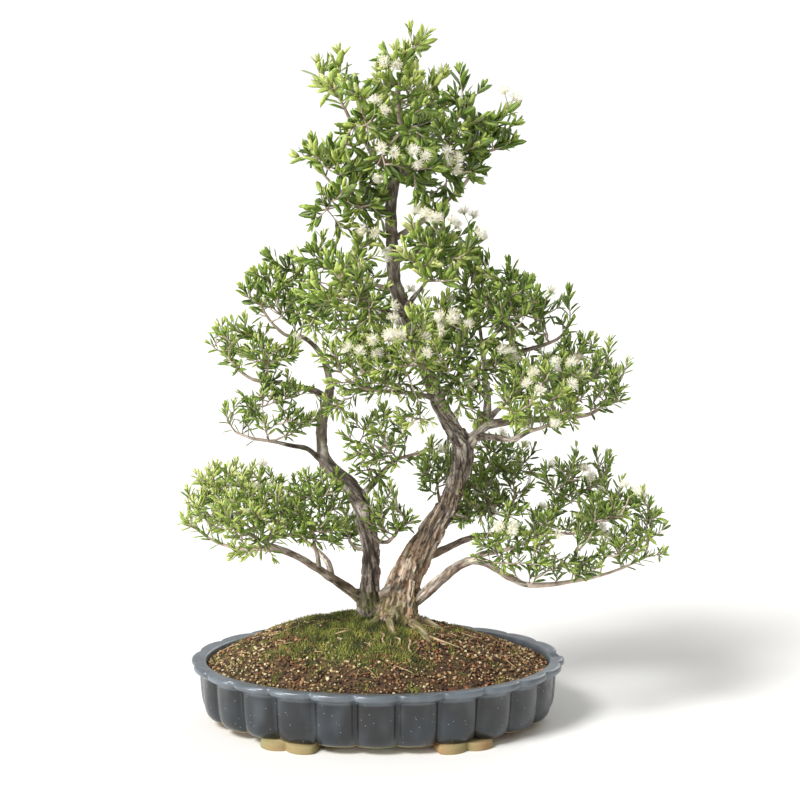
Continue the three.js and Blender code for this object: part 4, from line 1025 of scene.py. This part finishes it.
def stamen_puff(centre, axis, rng):
    """Filaments that stand out all round from a small cup, and their tips."""
    side = across_from(axis)
    up = np.cross(axis, side)
    polar = np.arccos(rng.uniform(-0.32, 1, STAMENS))
    turn = rng.uniform(0, 2 * math.pi, STAMENS)
    out = axis * np.cos(polar)[:, None] + np.sin(polar)[:, None] * (
        side * np.cos(turn)[:, None] + up * np.sin(turn)[:, None])
    foot = centre - axis * 1.6
    tips = centre + out * rng.uniform(0.74, 1.06, (STAMENS, 1)) * PUFF_RADIUS
    tips += rng.normal(0, 0.3, (STAMENS, 3))
    points, faces = [], []
    for tip, direction in zip(tips, out):
        cross = across_from(direction) * STAMEN_WIDTH
        second = np.cross(direction, cross)
        start = foot + direction * 1.2
        first = len(points)
        points += [start + cross, start - 0.5 * cross + 0.87 * second, start - 0.5 * cross - 0.87 * second]
        points += [tip + 0.6 * cross, tip - 0.3 * cross + 0.5 * second, tip - 0.3 * cross - 0.5 * second]
        faces += [(first + a, first + b, first + b + 3, first + a + 3) for a, b in ((0, 1), (1, 2), (2, 0))]
        faces += [(first + 2, first + 1, first), (first + 3, first + 4, first + 5)]
    return (np.array(points), faces), tips


def anther_beads(tips):
    """A tiny bead of pollen on each filament."""
    corners = np.array([(1, 1, 1), (1, -1, -1), (-1, 1, -1), (-1, -1, 1)]) * ANTHER_SIZE
    faces = copied_faces([(0, 1, 2), (0, 3, 1), (0, 2, 3), (1, 3, 2)], 4, len(tips))
    return (tips[:, None] + corners[None]).reshape(-1, 3), faces


def flower_shapes(stalk, axis, centres, rng):
    """Shapes of a cluster with the finish of each: 0 filaments and petals, 1 anthers, 2 green cup."""
    shapes = []
    for centre in centres:
        facing = unit(centre - stalk + axis * 6)
        puff, tips = stamen_puff(centre, facing, rng)
        side = across_from(facing)
        up = np.cross(facing, side)
        petals = []
        for k in range(5):
            angle = k * 2 * math.pi / 5
            radial = side * math.cos(angle) + up * math.sin(angle)
            petals.append((centre - facing * 1.8, unit(radial + 0.35 * facing), facing, *PETAL, 0))
        petals, _ = blades(petals, rng, curl=(-0.2, -0.1), fold=(0.2, 0.3))
        cup = tube([centre - facing * below for below in (4.4, 3.2, 1.7, 1.2)], [0.6, 1.5, 1.9, 1.2], 8)
        stem = tube([stalk, lerp(stalk, centre, 0.5) - axis * 0.6, centre - facing * 4], [0.55, 0.5, 0.55], 5)
        shapes += [(puff, 0), (anther_beads(tips), 1), (petals, 0), (cup, 2), (stem, 2)]
    return [shape for shape, _ in shapes], [number for shape, number in shapes for _ in shape[1]]


def fill(tree, node, inputs):
    """Set a node's sockets, or feed them from other nodes."""
    for socket, value in inputs.items():
        if isinstance(value, bpy.types.NodeSocket):
            tree.links.new(value, node.inputs[socket])
        else:
            node.inputs[socket].default_value = value


def add(tree, kind, inputs=None, stops=(), out=0, **settings):
    """Add a node with its settings, colour stops and links, and give one of its outputs."""
    made = tree.nodes.new(f"ShaderNode{kind}")
    for name, value in settings.items():
        setattr(made, name, value)
    for k, (position, colour) in enumerate(stops):
        mark = made.color_ramp.elements[k] if k < 2 else made.color_ramp.elements.new(position)
        mark.position, mark.color = position, hex_colour(colour)
    fill(tree, made, inputs or {})
    return made.outputs[out]


def finish(look):
    """A material named after its look, with one Principled shader filled with what the look gives."""
    material = bpy.data.materials.new(look.__name__)
    material.use_nodes = True
    tree = material.node_tree
    fill(tree, tree.nodes["Principled BSDF"], {"IOR": 1.5, **look(functools.partial(add, tree))})
    return material


def slate_blue_glazed_stoneware(node):
    """Stoneware glaze, dipped and fired in reduction: a satin blue-grey coat in soft clouds, paler on
    the rim and in some clouds, and holding pale specks."""
    place = node("TexCoord", out="Object")
    # Clouds of glaze about 45 mm across, and specks of about 1 mm
    clouds = node("TexNoise", {"Vector": place, "Scale": 1 / 0.045, "Detail": 4.0})
    body = node("ValToRGB", {"Fac": clouds}, [(0.32, "040608"), (0.52, "0a1016"), (0.72, "151f29")])
    # Paler on the rim and in some soft clouds, as the attribute thin gives
    thin = node("Attribute", out="Fac", attribute_name="thin")
    paled = node("Mix", {0: thin, 6: body, 7: hex_colour("656e76")}, **MIX)
    specks = node("TexVoronoi", {"Vector": place, "Scale": 1 / 0.0046, "Randomness": 1.0})
    near_speck = node("MapRange", {"Value": specks, 1: 0.1, 2: 0.15, 3: 1.0, 4: 0.0})
    chosen = node("SeparateColor", {"Color": specks.node.outputs["Color"]})
    few = node("Math", {0: chosen, 1: 0.62}, operation="GREATER_THAN")
    shown = node("Math", {0: near_speck, 1: few}, operation="MULTIPLY")
    speckled = node("Mix", {0: shown, 6: paled, 7: hex_colour("737d86")}, **MIX)
    drag = node("TexNoise", {"Vector": place, "Scale": 1 / 0.008, "Detail": 5.0})
    sheen = node("MapRange", {"Value": drag, 1: 0.3, 2: 0.7, 3: 0.32, 4: 0.5})
    skin = node("Bump", {"Height": drag, "Strength": 0.12, "Distance": 0.0006})
    return {"Base Color": speckled, "Roughness": sheen, "Normal": skin,
            "Coat Weight": 0.6, "Coat Roughness": 0.2}


def unglazed_buff_stoneware(node):
    """Bare stoneware, wiped clean of glaze before firing: a dry olive buff with rusty flashes."""
    place = node("TexCoord", out="Object")
    flash = node("TexNoise", {"Vector": place, "Scale": 1 / 0.06, "Detail": 3.0})
    clay = node("ValToRGB", {"Fac": flash}, [(0.35, "8d8a5e"), (0.55, "98825a"), (0.7, "9c6c48")])
    # Grog of about 1 mm
    grog = node("TexNoise", {"Vector": place, "Scale": 1 / 0.001, "Detail": 3.0})
    dotted = node("Mix", {0: 0.35, 6: clay, 7: grog.node.outputs["Color"]}, **SOFT_MIX)
    skin = node("Bump", {"Height": grog, "Strength": 0.3, "Distance": 0.0004})
    return {"Base Color": dotted, "Roughness": 0.88, "Normal": skin}


def packed_clay_soil(node):
    """Fine clay dust and crumbs packed between the grains: dark, dry and matt, green where mossy."""
    place = node("TexCoord", out="Object")
    crumbs = node("TexNoise", {"Vector": place, "Scale": 1 / 0.003, "Detail": 4.0})
    earth = node("ValToRGB", {"Fac": crumbs}, [(0.3, "241a12"), (0.5, "4c3826"), (0.7, "7a5f40")])
    green = node("ValToRGB", {"Fac": crumbs}, [(0.3, "262b0f"), (0.5, "474d1c"), (0.72, "6e7430")])
    moss = node("Attribute", out="Fac", attribute_name="moss")
    ground = node("Mix", {0: moss, 6: earth, 7: green}, **MIX)
    skin = node("Bump", {"Height": crumbs, "Strength": 0.7, "Distance": 0.0015})
    return {"Base Color": ground, "Roughness": 0.97, "Normal": skin}


def crushed_baked_clay_grit(node):
    """Baked clay, pumice and lava, crushed and sieved to about 3 mm: each grain its own dry tan,
    cream, red-brown or near-black."""
    shade = node("Attribute", out="Fac", attribute_name="grain")
    tan = node("ValToRGB", {"Fac": shade}, [
        (0.0, "261e14"), (0.25, "524329"), (0.5, "836c45"), (0.72, "a48b5b"), (0.88, "c5b381"),
        (1.0, "e8dfb8")])
    red = node("ValToRGB", {"Fac": shade}, [
        (0.0, "1e1511"), (0.25, "44291f"), (0.5, "743f2a"), (0.78, "935a42"), (1.0, "c29c74")])
    share = node("Attribute", out="Fac", attribute_name="redness")
    mixed = node("Mix", {0: share, 6: tan, 7: red}, **MIX)
    # Pores of about 0.5 mm, drawn at 1 mm so that they show
    pores = node("TexNoise", {"Vector": node("TexCoord", out="Object"), "Scale": 1 / 0.001, "Detail": 2.0})
    pitted = node("Mix", {0: 0.5, 6: mixed, 7: pores.node.outputs["Color"]}, **SOFT_MIX)
    skin = node("Bump", {"Height": pores, "Strength": 0.5, "Distance": 0.0005})
    return {"Base Color": pitted, "Roughness": 0.92, "Normal": skin}


def living_moss(node):
    """Living moss: soft upright leaves, olive in the tuft and yellow-green at the tips."""
    shade = node("Attribute", out="Fac", attribute_name="shade")
    green = node("ValToRGB", {"Fac": shade}, [
        (0.1, "2f3710"), (0.4, "5f6a20"), (0.7, "8f9638"), (1.0, "c0c05c")])
    return {"Base Color": green, "Roughness": 0.75, "IOR": 1.45, "Sheen Weight": 0.3}


def dried_straw_and_rootlets(node):
    """Dried straw, needles and rootlets: bleached or reddish, dull and fibrous."""
    shade = node("Attribute", out="Fac", attribute_name="shade")
    straw = node("ValToRGB", {"Fac": shade}, [
        (0.0, "8c4b3a"), (0.3, "7a5c3c"), (0.6, "a98f62"), (1.0, "d2c196")])
    return {"Base Color": straw, "Roughness": 0.8}


def bare_young_root(node):
    """Young roots, washed bare: smooth pinkish cream with a dusting of soil."""
    dust = node("TexNoise", {"Vector": node("TexCoord", out="Object"), "Scale": 1 / 0.004, "Detail": 3.0})
    cream = node("ValToRGB", {"Fac": dust}, [(0.35, "7d6448"), (0.5, "b79c79"), (0.7, "cdb896")])
    return {"Base Color": cream, "Roughness": 0.7}


def fissured_flaking_bark(node):
    """Old bark, split and flaked as the trunk grew: pinkish tan plates low on the right trunk and
    grey-brown ones above, fissures between them near black with their dark bark and painted shade,
    moss on the damp foot, a healed cut in paste."""
    run = node("Attribute", out="Vector", attribute_name="run")
    # Fibres about 1.3 mm wide and 14 mm long that run with the trunk, and patches of 9 by 20 mm
    stretched = node("Mapping", {"Vector": run, "Scale": (1 / 1.3, 1 / 1.3, 1 / 14)})
    fibre = node("TexNoise", {"Vector": stretched, "Scale": 1.0, "Detail": 3.0})
    patches = node("Mapping", {"Vector": run, "Scale": (1 / 9, 1 / 9, 1 / 20)})
    patch = node("TexNoise", {"Vector": patches, "Scale": 1.0, "Detail": 5.0})
    low = node("ValToRGB", {"Fac": patch}, [(0.3, "8a6a50"), (0.5, "c9ab8c"), (0.68, "ecdcc4")])
    high = node("ValToRGB", {"Fac": patch}, [(0.3, "5f5145"), (0.5, "a39486"), (0.68, "dcd1c5")])
    warm, crevice_and_shade, dead, paste, moss = (
        node("Attribute", out="Fac", attribute_name=name)
        for name in ("warm", "crevice_and_shade", "dead", "paste", "moss"))
    plates = node("Mix", {0: warm, 6: high, 7: low}, **MIX)
    streaked = node("Mix", {0: 0.55, 6: plates, 7: fibre.node.outputs["Color"]}, **SOFT_MIX)
    # Cracks 1 to 2 mm wide and about 30 mm long, painted near black: dark bark and painted shade in them
    seams = node("Mapping", {"Vector": run, "Scale": (1 / 4.5, 1 / 4.5, 1 / 34)})
    seam = node("TexNoise", {"Vector": seams, "Scale": 1.0, "Detail": 4.0, "Distortion": 0.4})
    crack_and_shade = node("ValToRGB", {"Fac": seam}, [(0.41, "000000"), (0.455, "ffffff"), (0.5, "000000")])
    # Fissures and cracks are painted near black: the dark bark in them and painted shade together
    open_bark_and_shade = node("Math", {0: crevice_and_shade, 1: crack_and_shade}, operation="MAXIMUM")
    split = node("Math", {0: open_bark_and_shade, 1: 0.97}, operation="MULTIPLY")
    cut = node("Mix", {0: split, 6: streaked, 7: hex_colour("130d09")}, **MIX)
    bare = node("Mix", {0: dead, 6: cut, 7: hex_colour("6a4a38")}, **MIX)
    healed = node("Mix", {0: paste, 6: bare, 7: hex_colour("b98478")}, **MIX)
    velvet = node("ValToRGB", {"Fac": fibre}, [(0.3, "3a4018"), (0.55, "666c2e"), (0.8, "8b8b46")])
    mossy = node("Mix", {0: moss, 6: healed, 7: velvet}, **MIX)
    grain = node("Bump", {"Height": fibre, "Strength": 0.6, "Distance": 0.0009})
    skin = node("Bump", {"Height": patch, "Normal": grain, "Strength": 0.5, "Distance": 0.0015})
    return {"Base Color": mossy, "Roughness": 0.86, "Normal": skin}


def thin_young_bark(node):
    """Bark of one to three years: thin and close, grey-brown with a pinkish bloom."""
    place = node("TexCoord", out="Object")
    patch = node("TexNoise", {"Vector": place, "Scale": 1 / 0.014, "Detail": 5.0})
    brown = node("ValToRGB", {"Fac": patch}, [(0.3, "857465"), (0.5, "b8a595"), (0.7, "dbcbbb")])
    fine = node("TexNoise", {"Vector": place, "Scale": 1 / 0.0012, "Detail": 2.0})
    skin = node("Bump", {"Height": fine, "Strength": 0.4, "Distance": 0.0004})
    return {"Base Color": brown, "Roughness": 0.72, "Normal": skin}


def waxy_evergreen_leaf(node):
    """Small evergreen leaves with a waxed skin: a soft gloss, paler along the midrib, from dark
    green on old ones to yellow-green on the new."""
    shade = node("Attribute", out="Fac", attribute_name="shade")
    green = node("ValToRGB", {"Fac": shade}, [
        (0.05, "2b3a0e"), (0.3, "556d22"), (0.55, "879d3f"), (0.8, "b7c366"), (1.0, "dfe2a0")])
    rib = node("Attribute", out="Fac", attribute_name="rib")
    line = node("MapRange", {"Value": rib, 1: 0.72, 2: 1.0, 3: 0.0, 4: 0.4})
    ribbed = node("Mix", {0: line, 6: green, 7: hex_colour("b9c784")}, **MIX)
    # Mottling about 4 mm across
    mottle = node("TexNoise", {"Vector": node("TexCoord", out="Object"), "Scale": 1 / 0.004, "Detail": 2.0},
                  out="Color")
    mottled = node("Mix", {0: 0.3, 6: ribbed, 7: mottle}, **SOFT_MIX)
    return {"Base Color": mottled, "Roughness": 0.42, "IOR": 1.47, "Subsurface Weight": 0.3,
            "Subsurface Radius": (0.6, 1.0, 0.2), "Subsurface Scale": 0.0012}


def creamy_white_filament(node):
    """Stamen filaments and petals: thin, moist and creamy white, and soft to the light."""
    blush = node("TexNoise", {"Vector": node("TexCoord", out="Object"), "Scale": 1 / 0.006, "Detail": 2.0})
    cream = node("ValToRGB", {"Fac": blush}, [(0.35, "f1ecd2"), (0.6, "fbf9f0")])
    return {"Base Color": cream, "Roughness": 0.55, "IOR": 1.4, "Subsurface Weight": 0.35,
            "Subsurface Radius": (1.0, 0.9, 0.7), "Subsurface Scale": 0.001}


def pale_yellow_pollen(node):
    """Anthers: dry beads of pale yellow pollen."""
    grain = node("TexNoise", {"Vector": node("TexCoord", out="Object"), "Scale": 1 / 0.003, "Detail": 1.0})
    yellow = node("ValToRGB", {"Fac": grain}, [(0.35, "e9dfae"), (0.65, "f7f1d6")])
    return {"Base Color": yellow, "Roughness": 0.9}


def young_green_calyx(node):
    """Flower cups and stalks: smooth yellow-green, with a slight down."""
    shade = node("TexNoise", {"Vector": node("TexCoord", out="Object"), "Scale": 1 / 0.01, "Detail": 1.0})
    green = node("ValToRGB", {"Fac": shade}, [(0.35, "7d9447"), (0.65, "a7b86b")])
    return {"Base Color": green, "Roughness": 0.6, "IOR": 1.45, "Sheen Weight": 0.2}


def moulded_black_polyethylene(node):
    """Drain screens of injection-moulded polyethylene: dull black-green, scuffed by the soil."""
    scuff = node("TexNoise", {"Vector": node("TexCoord", out="Object"), "Scale": 1 / 0.004, "Detail": 3.0})
    dull = node("ValToRGB", {"Fac": scuff}, [(0.4, "1c211e"), (0.7, "39403a")])
    return {"Base Color": dull, "Roughness": 0.55, "IOR": 1.52}


def seamless_pale_paper(_):
    """Seamless studio paper: plain, pale and matt."""
    return {"Base Color": hex_colour("f2f1ee"), "Roughness": 0.95}


def place_camera():
    """A camera in front of the pot, as high and as far as the photo was taken from."""
    camera = bpy.data.objects.new("camera", bpy.data.cameras.new("camera"))
    camera.data.lens = CAMERA_LENS
    camera.data.sensor_width = 36
    camera.data.clip_end = 100
    camera.location = Vector((CAMERA_SIDE, -CAMERA_BACK, CAMERA_HEIGHT)) * MM + Vector(POT_MIDDLE)
    camera.rotation_euler = (math.radians(90 - CAMERA_TILT), 0, 0)
    bpy.context.scene.collection.objects.link(camera)
    bpy.context.scene.camera = camera


def twig_tubes(stem, shoots):
    """Thin bark round a spray's leafy stem and its shoots."""
    shapes = [tube(*stem, 8, lumps=0.2)]
    for shoot in shoots:
        length = norm(np.diff(shoot, axis=0), axis=1).sum()
        shapes.append(tube(shoot, np.linspace(min(1.7, 0.75 + 0.009 * length), 0.5, len(shoot)), 5))
    return shapes


def put_flowers(name, twigs, flowers, finishes, replaced, rng):
    """One piece of flower clusters, a few flowers at the end of each twig, and their middles."""
    shapes, numbers, middles = [], [], []
    for twig in twigs:
        axis, centres = cluster_centres(twig, flowers)
        made, made_numbers = flower_shapes(twig[-1] + axis * SEAT_GAP, axis, centres, rng)
        shapes += made
        numbers += made_numbers
        middles += centres
    make_piece(name, shapes, finishes, replaced, finish=numbers)
    return middles


def flowering_shoots(number, tips):
    """The numbers of the shoots with a single flower: near the wanted places, and some behind."""
    seen = as_seen(tips)
    chosen = {k for k, tip in enumerate(tips) if tip[1] > 10 and k % BACK_FLOWERS == number % BACK_FLOWERS}
    for place in MORE_FLOWERS:
        away = norm(seen - np.array(place), axis=1) + 0.12 * (tips[:, 1] + 60)
        if away.min() < FLOWER_REACH:
            chosen.add(int(away.argmin()))
    return sorted(chosen)


def put_spray(number, name, twig_finish, leaf_finish, flower_finishes, limb_lines):
    """A branch's flowers, twigs and leaves."""
    rng = np.random.default_rng(100 + number)
    stem, shoots = spray_twigs(number, name, rng)
    skeleton = [(stem[0][k], 4.0 * k) for k in range(1, len(stem[0]), 2)]
    skeleton += [(shoot[k], 30.0) for shoot in shoots for k in range(1, len(shoot) - 2, 2)]
    middles, stalks = [], []
    for order, (home, place, flowers) in enumerate(BLOOMS, 1):
        if home == name:
            stalks.append(twig_to(skeleton, np.array(place, float), rng)[0])
            label = f"{name}_{order}"
            middles += put_flowers(f"flowers_{label}", stalks[-1:], flowers, flower_finishes,
                                   [f"bloom_{label}"], rng)
    ends = [shoots[k] for k in flowering_shoots(number, np.array([shoot[-1] for shoot in shoots]))]
    if ends:
        middles += put_flowers(f"more_flowers_{name}", ends, 1, flower_finishes, [], rng)
    make_piece(f"twigs_{name}", twig_tubes(stem, shoots + stalks), [twig_finish], [f"spray_{name}"],
               smooth=True)
    rows = [row for shoot in [*shoots, stem[0]] for row in shoot_leaves(shoot, FRESH.get(name, 0), rng)]
    starts = np.array([row[0] for row in rows])
    middle_of_leaf = starts + np.array([row[1] * row[3] * 0.6 for row in rows])
    dropped = inside_wood(starts, limb_lines) | in_opening(middle_of_leaf)
    if middles:
        dropped |= distance_to(middle_of_leaf, np.array(middles)) < PUFF_RADIUS + 1
    shape, shades = blades([row for row, gone in zip(rows, dropped) if not gone], rng)
    make_piece(f"leaves_{name}", [shape], [leaf_finish], [f"spray_{name}"],
               smooth=True, shades=shades)


def put_pot():
    """The pot: glazed, paler on the rim, and bare on its underside and feet."""
    wall = drilled(pot_wall(), [(-DRAIN_X, 0), (DRAIN_X, 0)])
    feet = [pot_foot(side_x, side_y) for side_x in (-1, 1) for side_y in (-1, 1)]
    corners, faces = wall
    # Paler towards the rim and in soft clouds over the wall
    rim = smooth_step(RIM_TOP - 15, RIM_TOP - 10, corners[:, 2])
    thin = np.clip(rim * 0.8 + noise_at(corners, (14, 14, 30), 4) * 0.3, 0, 1)
    thin = np.concatenate([thin, np.zeros(sum(len(foot[0]) for foot in feet))])
    bare = [int(max(corners[k][2] for k in face) < GLAZE_EDGE) for face in faces]
    bare += [1] * sum(len(foot[1]) for foot in feet)
    finishes = [finish(slate_blue_glazed_stoneware), finish(unglazed_buff_stoneware)]
    make_piece("pot_glazed", [wall, *feet], finishes, ["pot"], smooth=True, shades={"thin": thin},
               finish=bare)


def put_screens():
    screen_finish = finish(moulded_black_polyethylene)
    for name in ("drain_screen_left", "drain_screen_right"):
        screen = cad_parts[name]
        screen.data.materials.clear()
        screen.data.materials.append(screen_finish)


def put_ground():
    bed = soil_bed()
    green = moss_cover(bed[0][:, 0], bed[0][:, 1])
    make_piece("soil_bed", [bed], [finish(packed_clay_soil)], ["soil"], smooth=True,
               shades={"moss": green})
    for seed, (name, make, look) in enumerate([
            ("soil_grains", soil_grains, crushed_baked_clay_grit), ("moss", moss_blades, living_moss),
            ("straw", litter, dried_straw_and_rootlets)], 11):
        shapes, shades = make(np.random.default_rng(seed))
        make_piece(name, shapes, [finish(look)], shades=shades)
    make_piece("fine_roots", fine_roots(), [finish(bare_young_root)], smooth=True)


def put_wood():
    shapes, shades = tree_wood()
    make_piece("old_wood", shapes, [finish(fissured_flaking_bark)], ["tree_wood"], smooth=True,
               shades=shades)


def put_sprays():
    twig_finish, leaf_finish = finish(thin_young_bark), finish(waxy_evergreen_leaf)
    flower_looks = (creamy_white_filament, pale_yellow_pollen, young_green_calyx)
    flower_finishes = [finish(look) for look in flower_looks]
    limb_lines = [(line, radii) for kind, line, radii in wood_limbs() if kind in ("right", "left", "limb")]
    for number, name in enumerate(BRANCHES):
        put_spray(number, name, twig_finish, leaf_finish, flower_finishes, limb_lines)


def put_studio():
    """A floor of pale paper under an even pale sky, with soft suns from the upper left, low from the
    left and faintly from behind on the right."""
    corners = [(x * FLOOR_REACH, y * FLOOR_REACH, POT_MIDDLE[2])
               for x, y in ((-1, -1), (1, -1), (1, 1), (-1, 1))]
    floor = new_object("paper_floor", corners, [(0, 1, 2, 3)])
    floor.data.materials.append(finish(seamless_pale_paper))
    for name, towards, strength, softness in LIGHTS:
        lamp = bpy.data.lights.new(name, "SUN")
        lamp.energy, lamp.angle = strength, math.radians(softness)
        light = bpy.data.objects.new(name, lamp)
        light.rotation_euler = Vector(towards).to_track_quat("-Z", "Y").to_euler()
        bpy.context.scene.collection.objects.link(light)
    world = bpy.data.worlds.new("studio_air")
    world.use_nodes = True
    air = world.node_tree
    seen = add(air, "LightPath", out="Is Camera Ray")
    strength = add(air, "MapRange", {"Value": seen, 3: WORLD_STRENGTH, 4: WORLD_SEEN})
    fill(air, air.nodes["Background"], {"Color": hex_colour("ffffff"), "Strength": strength})
    bpy.context.scene.world = world
    bpy.context.scene.view_settings.view_transform = "Standard"


place_camera()
put_pot()
put_screens()
put_ground()
put_wood()
put_sprays()
put_studio()
